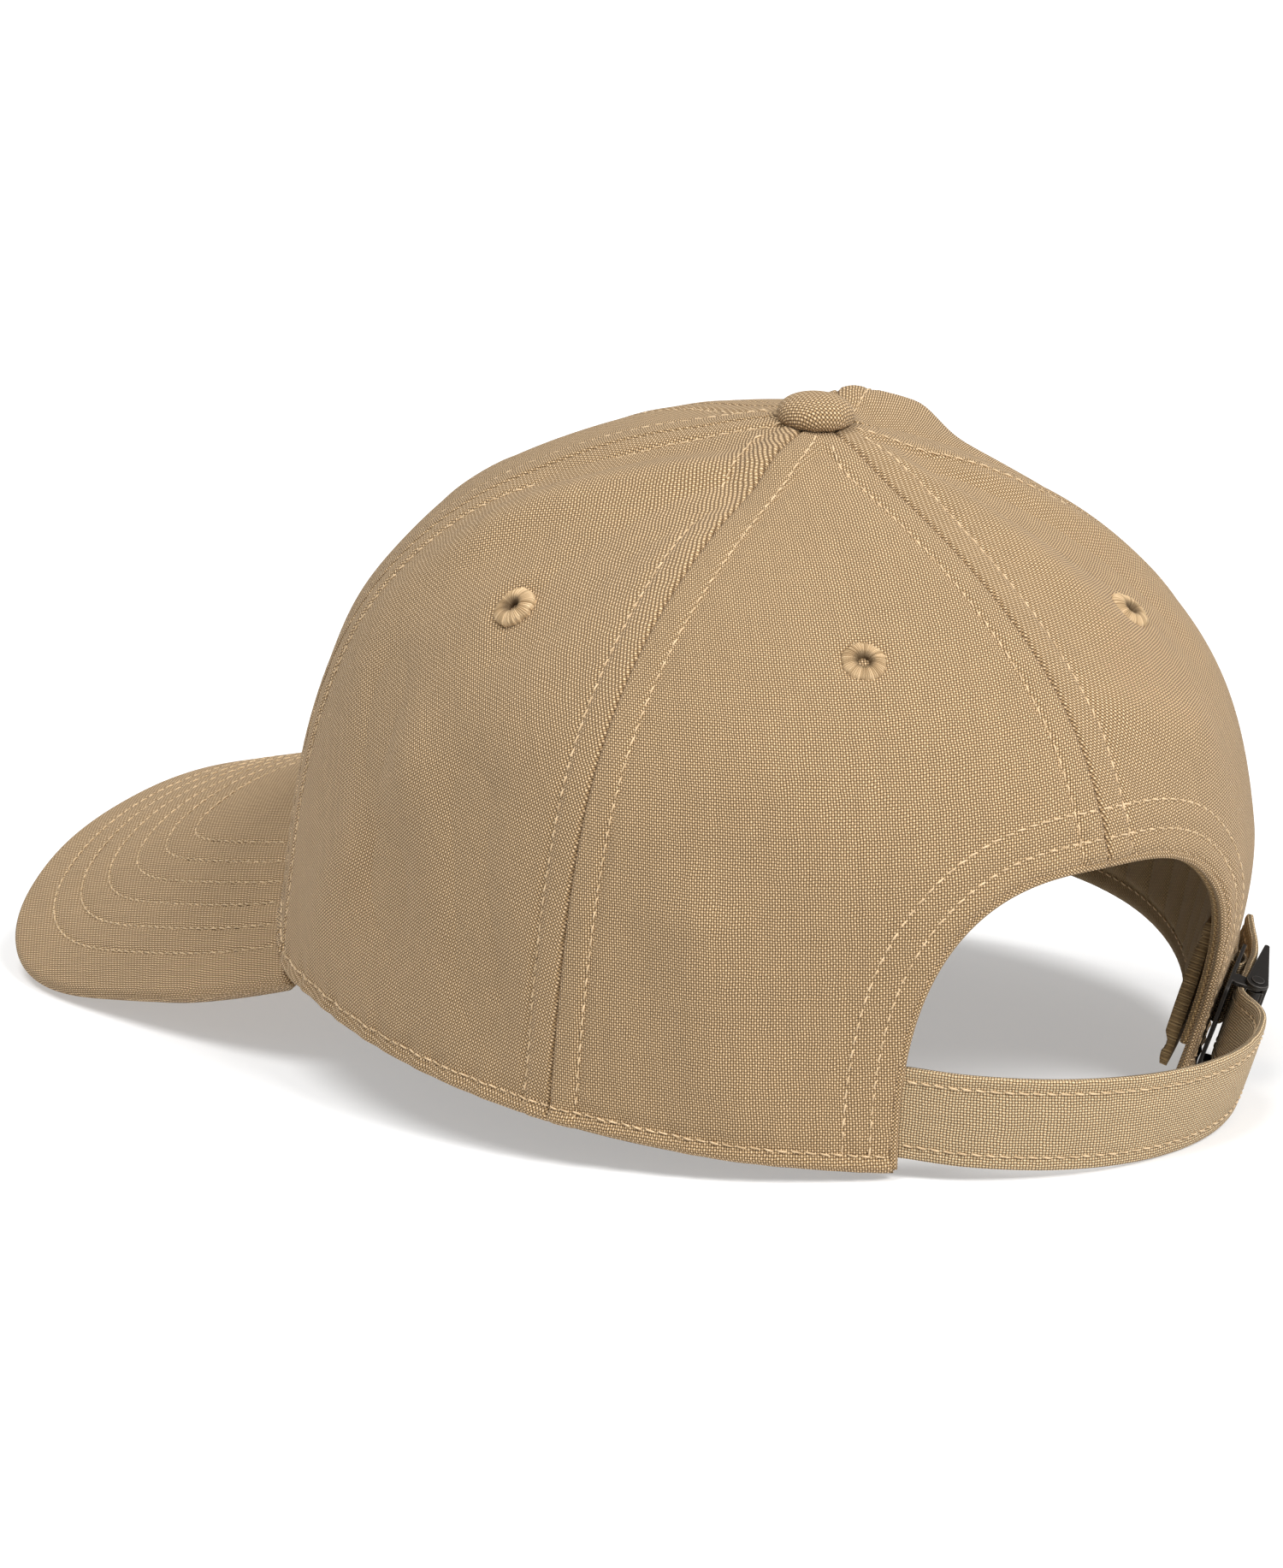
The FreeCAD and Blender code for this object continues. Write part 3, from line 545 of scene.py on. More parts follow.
# ---------------------------------------------------------------- materials
class Nodes:
    """A node tree, with short ways to add the nodes used most."""

    def __init__(self, tree):
        self.tree = tree

    def new(self, kind, **inputs):
        node = self.tree.nodes.new("ShaderNode" + kind)
        for name, value in inputs.items():
            node.inputs[name].default_value = value
        return node

    def link(self, a, b):
        self.tree.links.new(a, b)

    def fill(self, socket, value):
        """Set an input to a number or a colour, or link another node's output to it."""
        if isinstance(value, (int, float)):
            socket.default_value = value
        elif isinstance(value, tuple):
            socket.default_value = (*value, 1.0)
        elif value is not None:
            self.link(value, socket)

    def math(self, operation, *values):
        node = self.new("Math")
        node.operation = operation
        for socket, value in zip(node.inputs, values):
            self.fill(socket, value)
        return node.outputs[0]

    def vector(self, x, y):
        node = self.new("CombineXYZ")
        self.link(x, node.inputs[0])
        self.link(y, node.inputs[1])
        return node.outputs[0]

    def noise(self, where, scale, detail, dimensions="2D", roughness=0.5):
        node = self.new("TexNoise", Scale=scale, Detail=detail, Roughness=roughness)
        node.noise_dimensions = dimensions
        self.link(where, node.inputs["Vector"])
        return node.outputs["Fac"]

    def solid_noise(self, scale, detail, roughness=0.5):
        """Noise through the object's own space."""
        return self.noise(self.new("TexCoord").outputs["Object"], scale, detail, "3D", roughness)

    def ridges(self, across):
        """Round ridges, one to each whole number."""
        return self.math("ABSOLUTE", self.math("SINE", self.math("MULTIPLY", across, math.pi)))

    def mix(self, factor, a, b, kind="MIX"):
        node = self.new("Mix")
        node.data_type = "RGBA"
        node.blend_type = kind
        for socket, value in (("Factor", factor), (6, a), (7, b)):
            self.fill(node.inputs[socket], value)
        return node.outputs[2]

    def ramp(self, factor, low, high, ends=(0.0, 1.0)):
        """Colour that goes from low to high between two values of the factor."""
        node = self.new("ValToRGB")
        for element, colour, at in zip(node.color_ramp.elements, (low, high), ends):
            element.position = at
            element.color = (*colour, 1)
        self.link(factor, node.inputs[0])
        return node.outputs[0]

    def cloth_place(self):
        """The cloth's coordinates, together and as separate numbers."""
        where = self.new("UVMap")
        where.uv_map = "cloth"
        split = self.new("SeparateXYZ")
        self.link(where.outputs[0], split.inputs[0])
        return where.outputs[0], split.outputs[0], split.outputs[1]

    def shade(self, **sockets):
        """Feed the surface shader. An underscore stands for a space in a socket's name."""
        for name, value in sockets.items():
            self.fill(self.tree.nodes["Principled BSDF"].inputs[name.replace("_", " ")], value)

    def bump(self, height, strength, distance, normal=None):
        """Tilt the surface by a height, distance in millimetres."""
        node = self.new("Bump", Strength=strength, Distance=distance * MM)
        self.fill(node.inputs["Height"], height)
        self.fill(node.inputs["Normal"], normal)
        self.shade(Normal=node.outputs[0])


def surface(name, **settings):
    """A new material and its nodes."""
    material = bpy.data.materials.new(name)
    material.use_nodes = True
    nodes = Nodes(material.node_tree)
    nodes.shade(**settings)
    return material, nodes


def weave_group():
    """Plain weave from cloth coordinates already turned to the threads and counted in threads."""
    group = bpy.data.node_groups.new("plain weave", "ShaderNodeTree")
    for way, names in (("INPUT", ("u", "v")), ("OUTPUT", ("height", "warp", "thread"))):
        for name in names:
            group.interface.new_socket(name, in_out=way, socket_type="NodeSocketFloat")
    given = group.nodes.new("NodeGroupInput")
    result = group.nodes.new("NodeGroupOutput")
    u, v = given.outputs["u"], given.outputs["v"]
    nodes = Nodes(group)

    def thread(across, along, shift):
        """Height of one set of threads: a round ridge that dips under the other set."""
        column = nodes.math("FLOOR", across)
        ridge = nodes.math("POWER", nodes.ridges(across), 0.55)
        wave = nodes.math("ADD", nodes.math("SUBTRACT", along, 0.5 - shift), column)
        over = nodes.math("COSINE", nodes.math("MULTIPLY", wave, math.pi))
        over = nodes.math("ADD", nodes.math("MULTIPLY", over, 0.5), 0.5)
        return nodes.math("MULTIPLY", ridge, nodes.math("POWER", over, 0.6)), column
    warp, warp_column = thread(u, v, 0.0)
    weft, weft_column = thread(v, u, 1.0)
    on_top = nodes.math("GREATER_THAN", warp, weft)
    noise = nodes.new("TexWhiteNoise")
    noise.noise_dimensions = "2D"
    seen = nodes.vector(nodes.math("MULTIPLY", warp_column, on_top),
                        nodes.math("MULTIPLY", weft_column, nodes.math("SUBTRACT", 1.0, on_top)))
    nodes.link(seen, noise.inputs["Vector"])
    nodes.link(nodes.math("MAXIMUM", warp, weft), result.inputs["height"])
    nodes.link(on_top, result.inputs["warp"])
    nodes.link(noise.outputs["Value"], result.inputs["thread"])
    return group


WEAVE_GROUP = weave_group()


def cloth(name, light, dark, painted_shade, turn=0.0, pitch=WEAVE, stretch=1.0, bump_size=0.28, mottling=0.05):
    """Woven cloth: light and dark thread colours, and the painted shade between the threads."""
    material, nodes = surface(name, Roughness=0.88, Sheen_Weight=0.08, Sheen_Roughness=0.5,
                              Specular_IOR_Level=0.2)
    where, x, y = nodes.cloth_place()
    cosine = math.cos(math.radians(turn)) / pitch
    sine = math.sin(math.radians(turn)) / pitch

    def turned(x_share, y_share):
        return nodes.math("ADD", nodes.math("MULTIPLY", x, x_share), nodes.math("MULTIPLY", y, y_share))
    across = turned(cosine, sine)
    along = turned(-sine * stretch, cosine * stretch)
    drift = nodes.math("MULTIPLY", nodes.math("SUBTRACT", nodes.noise(where, 0.18, 2.0), 0.5), 1.2)
    weave = nodes.new("Group")
    weave.node_tree = WEAVE_GROUP
    nodes.link(nodes.math("ADD", across, drift), weave.inputs["u"])
    nodes.link(nodes.math("ADD", along, drift), weave.inputs["v"])
    height = weave.outputs["height"]
    threads = nodes.mix(weave.outputs["warp"], dark, light)
    # painted shade: the colour goes to the painted shade where the weave is low, between the threads
    colour = nodes.mix(nodes.math("POWER", height, 3.0), painted_shade, threads)
    slub_place = nodes.vector(nodes.math("MULTIPLY", across, 0.45), nodes.math("MULTIPLY", along, 0.10))
    shade = nodes.math("MULTIPLY_ADD", nodes.noise(slub_place, 1.0, 3.0), 0.16, 0.92)
    for spread in ((weave.outputs["thread"], 0.09, 0.955),
                   (nodes.noise(where, 0.045, 4.0), 2 * mottling, 1 - mottling)):
        shade = nodes.math("MULTIPLY", shade, nodes.math("MULTIPLY_ADD", *spread))
    grey = nodes.new("CombineColor")
    for socket in grey.inputs:
        nodes.link(shade, socket)
    nodes.shade(Base_Color=nodes.mix(1.0, colour, grey.outputs[0], "MULTIPLY"))
    nodes.bump(nodes.math("MULTIPLY_ADD", nodes.noise(where, 6.0, 2.0), 0.35, height), 0.9, bump_size)
    return material


def thread_material(name, light, dark):
    """Twisted sewing thread."""
    material, nodes = surface(name, Roughness=0.6, Sheen_Weight=0.2)
    twist = nodes.solid_noise(900.0, 3.0)
    nodes.shade(Base_Color=nodes.ramp(twist, dark, light, (0.35, 0.62)))
    nodes.bump(twist, 0.5, 0.08)
    return material


def spoke_material(name, light, dark, painted_shade):
    """Satin-stitched thread, with painted shade between the spokes and towards the hole. Its coordinates
    count the threads round the eyelet and run outwards.
    """
    material, nodes = surface(name, Roughness=0.65, Specular_IOR_Level=0.3)
    _, round_way, out_way = nodes.cloth_place()
    ridge = nodes.ridges(round_way)
    noise = nodes.new("TexWhiteNoise")
    noise.noise_dimensions = "1D"
    nodes.link(nodes.math("FLOOR", round_way), noise.inputs["W"])
    threads = nodes.mix(noise.outputs["Value"], dark, light)
    # painted shade: the thread colour falls to the painted shade between the spokes and towards the hole
    outwards = nodes.math("MULTIPLY_ADD", out_way, 0.9, 0.15)
    shown = nodes.math("MINIMUM", nodes.math("ADD", nodes.math("POWER", ridge, 0.7), outwards), 1.0)
    painted_light_away_from_hole = nodes.math("MINIMUM", nodes.math("MULTIPLY", outwards, 1.8), 1.0)
    nodes.shade(Base_Color=nodes.mix(nodes.math("MULTIPLY", shown, painted_light_away_from_hole), painted_shade, threads))
    nodes.bump(ridge, 0.8, 0.12)
    return material


def gunmetal():
    """Dark plating, scuffed, worn light along its edges."""
    material, nodes = surface("gunmetal plating", Metallic=0.55, Specular_IOR_Level=0.25)
    scuffs = nodes.solid_noise(420.0, 6.0, 0.7)
    rounded = nodes.new("Bevel", Radius=0.35 * MM)
    rounded.samples = 6
    across = nodes.new("VectorMath")
    across.operation = "DOT_PRODUCT"
    nodes.link(nodes.new("NewGeometry").outputs["Normal"], across.inputs[0])
    nodes.link(rounded.outputs[0], across.inputs[1])
    edge = nodes.math("MULTIPLY", nodes.math("SUBTRACT", 1.0, across.outputs["Value"]), 6.0)
    edge = nodes.math("MULTIPLY", edge, nodes.math("MULTIPLY_ADD", scuffs, 1.6, 0.1))
    edge = nodes.math("MINIMUM", edge, 1.0)
    nodes.shade(Base_Color=nodes.mix(edge, (0.030, 0.027, 0.025), (0.15, 0.14, 0.13)),
                Roughness=nodes.math("MULTIPLY_ADD", scuffs, 0.30, 0.40))
    nodes.bump(scuffs, 0.25, 0.05, rounded.outputs[0])
    return material


def plain_material(name, colour, roughness, metallic=0.0):
    """Unwoven material with fine grain: moulded sheet or pressed steel."""
    material, nodes = surface(name, Metallic=metallic)
    grain = nodes.solid_noise(300.0, 4.0)
    dark = [channel * 0.85 for channel in colour]
    nodes.shade(Base_Color=nodes.ramp(grain, dark, colour),
                Roughness=nodes.math("MULTIPLY_ADD", grain, 0.2, roughness))
    return material


LIGHT = (0.99, 0.725, 0.435)
DARK = (0.62, 0.42, 0.215)
# painted shade between the threads, shared by every canvas
PAINTED_GAP_SHADE = (0.085, 0.04, 0.012)
# The strap's thread colours are the canvas colours painted lighter: painted light on the strap and its anchor
# tab.
STRAP_LIGHT_PAINTED_LIT = (1.0, 0.80, 0.50)
STRAP_DARK_PAINTED_LIT = (0.88, 0.63, 0.36)
CANVAS = {
    "front": cloth("canvas front panel", LIGHT, DARK, PAINTED_GAP_SHADE, turn=8),
    "side": cloth("canvas side panel", LIGHT, DARK, PAINTED_GAP_SHADE, turn=40),
    "back": cloth("canvas back panel", LIGHT, DARK, PAINTED_GAP_SHADE, turn=4),
    "visor": cloth("canvas visor top", LIGHT, DARK, PAINTED_GAP_SHADE, turn=2),
    "under": cloth("canvas visor underside", LIGHT, DARK, PAINTED_GAP_SHADE, turn=2),
    "strap": cloth("canvas strap", STRAP_LIGHT_PAINTED_LIT, STRAP_DARK_PAINTED_LIT, PAINTED_GAP_SHADE, turn=0, stretch=0.9),
    "roll": cloth("canvas rolled edge", LIGHT, DARK, PAINTED_GAP_SHADE, turn=45),
    "button": cloth("canvas button cover", LIGHT, DARK, PAINTED_GAP_SHADE, turn=25, pitch=0.62, bump_size=0.30),
}
# The sweatband's own khaki, painted darker than the canvas as painted shade inside the crown.
BAND_CLOTH_WITH_PAINTED_SHADE = cloth("brushed cotton band", (0.40, 0.275, 0.135), (0.34, 0.23, 0.11), (0.17, 0.11, 0.048),
               turn=45, pitch=0.40, stretch=0.6, mottling=0.14)
TAPE_CLOTH = cloth("tan cotton tape", (0.62, 0.42, 0.20), (0.46, 0.30, 0.13), (0.12, 0.068, 0.026),
                   turn=30, pitch=0.45, stretch=0.7)
BUCKRAM_CLOTH = cloth("buckram", (0.72, 0.68, 0.58), (0.62, 0.58, 0.48), (0.30, 0.27, 0.20), pitch=1.1,
                      bump_size=0.3)
TOPSTITCH = thread_material("tan topstitch thread", (0.74, 0.545, 0.325), (0.46, 0.315, 0.165))
VISOR_THREAD = thread_material("tan visor thread", (0.68, 0.49, 0.28), (0.38, 0.26, 0.13))
# the third colour is painted shade, between the spokes and in the hole
EYELET_THREAD = spoke_material("tan eyelet thread", (0.76, 0.56, 0.335), (0.40, 0.27, 0.14),
                               (0.10, 0.055, 0.022))
GUNMETAL = gunmetal()
STEEL = plain_material("pressed steel", (0.55, 0.54, 0.52), 0.35, 1.0)
BOARD = plain_material("pressed visor board", (0.42, 0.30, 0.17), 0.7)


# ---------------------------------------------------------------- crown panels
SEAM_TEMPLATE = np.array([0, 0.3, 0.6, 1.0, 1.5, 2.2, 3.0, 3.9, 4.6, 5.1, 5.6, 6.1, 6.7, 7.5, 8.5])


def panel_columns(first, last, rise, middle_count):
    """Angles across a panel at one height, crowded beside its two seams."""
    centre = (first + last) / 2
    degree = float(crown_axes(np.array(centre), np.array(rise))[3])
    half = abs(last - first) / 2 * degree
    template = SEAM_TEMPLATE * min(1.0, 0.7 * half / SEAM_TEMPLATE[-1])
    share = template / half
    inner = np.linspace(share[-1], 1.0, middle_count + 2)[1:]
    shares = np.concatenate([share, inner])
    left = centre + (first - centre) * (1 - shares)
    right = centre + (last - centre) * (1 - shares[:-1][::-1])
    return np.concatenate([left, right])


def arc_table(angle, count=200):
    """Arc length up the crown at one angle, as (rises, lengths)."""
    rises = np.linspace(0, 1.5, count)
    line = crown(np.full(count, angle), rises)
    return rises, lengths_along(line)


def panel(name, first, last, material, middle_count=34):
    """One crown panel, cut by the rear opening if it reaches it."""
    centre = (first + last) / 2
    steps = 130
    v = np.linspace(0, 1, steps)
    v = np.concatenate([[0, 0.0025, 0.005, 0.009], v[2:]])
    top_rise = float(rise_near_top(np.array(centre), BUTTON_GAP))
    grid_angle = []
    grid_rise = []
    for share in v:
        middle_rise = mixed(float(rise_at(hem_height(np.array(centre)))), top_rise, share)
        columns = panel_columns(first, last, middle_rise, middle_count)
        low = rise_at(hem_height(columns))
        high = rise_near_top(columns, BUTTON_GAP)
        grid_angle.append(columns)
        grid_rise.append(mixed(low, high, share))
    angle = np.array(grid_angle)
    rise = np.array(grid_rise)
    keep = None
    if max(abs(first), abs(last)) > 170:
        z = CROWN_HEIGHT * np.sin(rise)
        outside = beyond_arch(angle, z)
        keep = outside > -0.75
        edge = keep & (outside < 0.35)
        small = 0.02
        for _ in range(3):
            outside = beyond_arch(angle, z)
            step = np.where(edge, outside, 0.0)
            slope_angle = (beyond_arch(angle + small * np.sign(centre), z) - outside) / small
            slope_z = (beyond_arch(angle, z + small) - outside) / small
            scale = np.maximum(slope_angle ** 2 / ARCH_DEGREE_SQUARED + slope_z ** 2, 1e-6)
            angle = angle - step * slope_angle / ARCH_DEGREE_SQUARED / scale * np.sign(centre)
            z = z - step * slope_z / scale
        inside = np.abs(angle) > 180
        angle = np.where(inside, np.sign(centre) * 180.0, angle)
        rise = np.where(edge, rise_at(z), rise)
    outer, outward = sewn(angle, rise)
    flat, outward = sewn(angle, rise, PANEL_THICK, False)
    rises, lengths = arc_table(centre)
    degree = crown_axes(angle, rise)[3]
    uv = np.stack([(angle - centre) * degree, np.interp(rise, rises, lengths)], -1)
    return sheet_object(name, outer, flat, uv, material, keep)


def crown_patch(name, first, last, depths, low, high, material, columns=60, rows=60, height=None):
    """A layer inside the crown, between two angles and two heights."""
    angle = np.linspace(first, last, columns)[:, None] + np.zeros(rows)
    rise = mixed(low(angle), high(angle), np.linspace(0, 1, rows))
    outer = sewn(angle, rise, depths[0], False)[0]
    inner, outward = sewn(angle, rise, depths[1], False)
    degree = crown_axes(angle, rise)[3]
    reach = (angle - first) * degree
    rises, lengths = arc_table((first + last) / 2)
    climb = np.interp(rise, rises, lengths)
    if height is not None:
        inner = inner - outward * height(reach, climb, np.linspace(0, 1, rows))[..., None]
    return sheet_object(name, outer, inner, np.stack([reach, climb], -1), material)


SIDES = {"left": 1.0, "right": -1.0}
for side, sign in SIDES.items():
    for place, first, last in (("front", 0.0, SIDE_SEAM), ("side", SIDE_SEAM, BACK_SEAM),
                               ("back", BACK_SEAM, 180.0)):
        node = place + "_panel_" + side
        piece = panel("sewn_" + node, sign * first, sign * last, CANVAS[place])
        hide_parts(node)


# ---------------------------------------------------------------- topstitching on the crown
def crown_line(angles, rises, lift=0.0):
    """A line on the sewn cloth, as (points, outward directions)."""
    angles = np.asarray(angles, float)
    rises = np.asarray(rises, float)
    points, outward = sewn(angles, rises)
    return points + outward * lift, outward


def seam_rows(seam):
    """The two rows of topstitching beside a seam, from the hem to the button."""
    rows = []
    for way in (-1, 1):
        low = 2.0 + float(hem_height(np.array(seam)))
        top = float(rise_near_top(np.array(abs(seam)), ROW_TOP))
        rise = np.linspace(float(rise_at(low)), top, 150)
        degree = crown_axes(np.full(150, float(seam)), rise)[3]
        offset = np.minimum(SEAM_ROW / degree, ROW_LIMIT)
        rows.append(crown_line(seam + way * offset, rise))
    return rows


crown_rows = []
for seam in (0.0, SIDE_SEAM, -SIDE_SEAM, BACK_SEAM, -BACK_SEAM):
    crown_rows.extend(seam_rows(seam))
for way in (1, -1):
    top = float(rise_near_top(np.array(180.0), ROW_TOP))
    rise = np.linspace(float(rise_at(ARCH_HEIGHT + 1.0)), top, 110)
    degree = crown_axes(np.full(110, 180.0), rise)[3]
    crown_rows.append(crown_line(way * (180.0 - np.minimum(SEAM_ROW / degree, ROW_LIMIT)), rise))
hem_angles = {1: np.linspace(2, 151.0, 400), -1: np.linspace(-2, -151.0, 400)}
for angles in hem_angles.values():
    crown_rows.append(crown_line(angles, rise_at(hem_height(angles) + HEM_ROW), 0.35))
for row in ARCH_ROWS:
    for t in (np.linspace(0.004, 0.4995, 160), np.linspace(0.5005, 0.996, 160)):
        angles, heights = arch_at(t, row)
        crown_rows.append(crown_line(angles, rise_at(heights)))
crown_stitches = stitches("crown_topstitching", crown_rows, TOPSTITCH)

# ---------------------------------------------------------------- rolled edge of the rear opening
for side, (t0, t1) in {"left": (0.0, 0.5), "right": (0.5, 1.0)}.items():
    t = np.clip(np.linspace(t0, t1, 220), 0.0008, 0.9992)
    angles, heights = arch_at(t, 0.15)
    line, outward = sewn(angles, rise_at(heights), 0.75, False)
    roll = tube("arch_rolled_edge_" + side, line, outward, 0.85, CANVAS["roll"])


def binding_strip():
    """Tape that faces the inside of the opening, with a fat folded edge along the arch."""
    for side, (t0, t1) in {"left": (0.09, 0.4995), "right": (0.5005, 0.985)}.items():
        t = np.linspace(t0, t1, 160)[:, None] + np.zeros(14)
        outward_way = 0.4 + BINDING_WIDTH * np.linspace(0, 1, 14)[None, :] + 0 * t
        angles, heights = arch_at(t, outward_way)
        rise = rise_at(heights)
        outer = sewn(angles, rise, BINDING[0], False)[0]
        inner, outward = sewn(angles, rise, BINDING[1], False)
        puff = 0.3 * np.sin(np.pi * np.linspace(0, 1, 14)) ** 0.5
        inner = inner - outward * puff[None, :, None]
        uv = np.stack([t * ARCH_LENGTH, outward_way], -1)
        sheet_object("arch_tape_" + side, outer, inner, uv, TAPE_CLOTH)
        angles, heights = arch_at(np.linspace(t0, t1, 220), 0.3)
        line, outward = sewn(angles, rise_at(heights), 2.1, False)
        piping = tube("arch_tape_fold_" + side, line, outward, 0.75, TAPE_CLOTH)
    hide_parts("arch_binding")


binding_strip()

# ---------------------------------------------------------------- inner layers
for side, sign in SIDES.items():
    backing = crown_patch("buckram_mesh_" + side, sign * 0.3, sign * (SIDE_SEAM - 0.5), BUCKRAM,
                          lambda angle: rise_at(hem_height(angle) + 1.0),
                          lambda angle: rise_near_top(angle, 2 * BUTTON_GAP), BUCKRAM_CLOTH)
    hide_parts("buckram_" + side)


def seam_tape(name, angle, depths, low):
    """Tape over a seam's allowance, folded under along both edges."""
    rise = np.linspace(float(low), float(rise_near_top(np.array(abs(angle)), TAPE_TOP)), 110)[:, None]
    share = np.linspace(-1, 1, 17)[None, :]
    degree = crown_axes(np.full(rise.shape, float(angle)), rise)[3]
    angles = angle + share * TAPE_HALF_WIDTH / degree
    rise = rise + 0 * share
    outer = sewn(angles, rise, depths[0], False)[0]
    inner, outward = sewn(angles, rise, depths[1], False)
    puff = 0.25 * (bump(np.abs(share) - 0.9, 0.08) + bump(share, 0.25))
    puff = puff - 0.12 * bump(np.abs(share) - 0.7, 0.05)
    inner = inner - outward * (puff + 0 * rise)[..., None]
    uv = np.stack([share * TAPE_HALF_WIDTH + 0 * rise, rise * RISE_LENGTH], -1)
    piece = sheet_object("sewn_" + name, outer, inner, uv, TAPE_CLOTH)
    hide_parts(name)
    rows = []
    for column in (3, 13):
        rows.append((inner[:, column], -outward[:, column]))
    return rows


front_low = rise_at(hem_height(np.array(0.0)) + SWEATBAND_HEIGHT - TAPE_LAP)
back_low = rise_at(ARCH_HEIGHT + BINDING_WIDTH + 2.0)
tape_rows = seam_tape("seam_tape_front", 0.0, TAPE_OVER_BUCKRAM, front_low)
tape_rows += seam_tape("seam_tape_back", 180.0, TAPE, back_low)
for side, sign in SIDES.items():
    tape_rows += seam_tape("seam_tape_front_" + side, sign * SIDE_SEAM, TAPE_OVER_BUCKRAM, rise_at(2.0))
    tape_rows += seam_tape("seam_tape_rear_" + side, sign * BACK_SEAM, TAPE, rise_at(2.0))
stitches("tape_stitching", tape_rows, TOPSTITCH)


def band_ribs(reach, climb, share):
    """Leaning quilted ribs of the sweatband, and a narrow turned edge along its bottom and top."""
    rib = np.abs(np.sin(np.pi * (reach + 0.35 * climb + 1.2 * np.sin(reach / 23.0)) / 9.5)) ** 0.45
    flat = smooth((share - 0.13) / 0.08) * smooth((1 - share) / 0.12)
    rough = 0.12 * np.sin(reach * 1.7) * np.sin(reach * 0.63 + 1.0)
    return 1.5 * rib * flat + (0.7 + rough) * bump(share - 0.06, 0.05) + 0.3 * bump(share - 0.97, 0.03)


band = crown_patch("sewn_sweatband", -SWEATBAND_END, SWEATBAND_END, SWEATBAND,
                   lambda angle: rise_at(hem_height(angle) + 0.2),
                   lambda angle: rise_at(hem_height(angle) + SWEATBAND_HEIGHT), BAND_CLOTH_WITH_PAINTED_SHADE,
                   columns=900, rows=30, height=band_ribs)
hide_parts("sweatband")
angles = np.linspace(-SWEATBAND_END + 1, SWEATBAND_END - 1, 900)
band_rows = []
for share in (0.10, 0.90):
    rise = rise_at(hem_height(angles) + 1.0 + (SWEATBAND_HEIGHT - 1.0) * share)
    line, outward = sewn(angles, rise, SWEATBAND[1] + 0.15, False)
    band_rows.append((line, -outward))
stitches("sweatband_stitching", band_rows, TOPSTITCH)


# ---------------------------------------------------------------- eyelets
def eyelet(name, angle, z):
    """Radial thread round a hole, on both faces of the cloth."""
    rise = rise_at(z)
    centre = crown(np.array(angle), rise)
    across, up, outward, degree = crown_axes(np.array(angle), rise)
    spokes = 54
    fine = 6
    turns = np.arange(spokes * fine + 1) * 2 * np.pi / (spokes * fine)
    ends = np.random.default_rng(int(abs(angle) * 10) + int(angle > 0)).uniform(-0.25, 0.2, spokes)
    wave = np.abs(np.sin(spokes * turns / 2))
    reach = EYELET_REACH + np.append(np.repeat(ends, fine), ends[0]) * wave
    profile = [(0.0, -0.9), (0.0, -0.35), (0.08, 0.15), (0.22, 0.48), (0.42, 0.58), (0.64, 0.48),
               (0.84, 0.24), (0.95, 0.0), (1.0, -0.35)]
    lines = []
    for share, height in profile:
        ridge = 0.20 * (wave - 0.5) * min(1.0, 0.3 + 2 * share) * (height > -0.2)
        lines.append((EYELET_BORE + (reach - EYELET_BORE) * share, height + ridge, share))
    back = [(radius, -PANEL_THICK - 0.9 - 0.5 * height, share) for radius, height, share in lines[1:]]
    points = []
    uv = []
    for radius, height, share in lines[::-1] + back:
        flat = across * np.cos(turns)[:, None] + up * np.sin(turns)[:, None]
        points.append(centre + flat * radius[:, None] + outward * height[:, None])
        uv.append(np.stack([turns * spokes / (2 * np.pi), share + 0 * turns], -1))
    points.append(points[0])
    uv.append(uv[0])
    faces = grid_faces(len(points), len(turns)).tolist()
    return mesh_object(name, np.concatenate(points), faces, np.concatenate(uv), EYELET_THREAD)


for side, sign in SIDES.items():
    for place, (angle, z) in EYELETS.items():
        piece = eyelet("thread_eyelet_" + place + "_" + side, sign * angle, z)
        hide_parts("eyelet_" + place + "_" + side)


# ---------------------------------------------------------------- button
def button():
    """Cloth drawn over a domed button, gathered underneath."""
    turns = np.linspace(0, 2 * np.pi, 97)[:-1]
    low = CROWN_HEIGHT + 0.3
    radius = BUTTON_RADIUS - 0.4
    profile = []
    for share in np.linspace(0, 1, 22):
        tip = share * np.pi / 2
        height = low + 1.6 + (BUTTON_HEIGHT - 1.7) * np.cos(tip) ** 0.9
        profile.append((radius * np.sin(tip) ** 0.8, height, 0.0))
    for share in np.linspace(0.15, 1, 8):
        tip = share * np.pi / 2
        profile.append((radius - 2.6 * (1 - np.cos(tip)), low + 1.6 - 1.7 * np.sin(tip), share))
    rows = []
    for reach, height, gather in profile:
        pleat = 1 + 0.035 * gather * np.cos(14 * turns + 0.8 * np.sin(3 * turns))
        rows.append(np.stack([reach * pleat * np.cos(turns), TOP_SHIFT + reach * pleat * np.sin(turns),
                              height + 0 * turns], -1))
    points = np.array(rows)
    reach = lengths_along(points[:, 0])
    uv = np.stack([reach[:, None] * np.cos(turns), reach[:, None] * np.sin(turns)], -1)
    faces = grid_faces(len(profile), len(turns), wrap=True, flip=True)
    faces = faces[len(turns):].tolist()
    count = len(turns)
    faces.append(list(range(count, 2 * count)))
    faces.append(list(range((len(profile) - 1) * count, len(profile) * count))[::-1])
    piece = mesh_object("sewn_button_cover", points.reshape(-1, 3), faces, uv.reshape(-1, 2),
                        CANVAS["button"])
    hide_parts("button_cover")


button()


# ---------------------------------------------------------------- visor
OUTLINE = np.stack(visor_outer(np.linspace(-1, 1, 801)), -1)


def from_outline(across, y):
    """Distance along the sheet from the visor's outline."""
    place = np.stack([across.ravel(), y.ravel()], -1)
    nearest = np.concatenate([
        np.sqrt(((part[:, None] - OUTLINE[None]) ** 2).sum(-1).min(1)) for part in np.array_split(place, 60)])
    return nearest.reshape(across.shape)


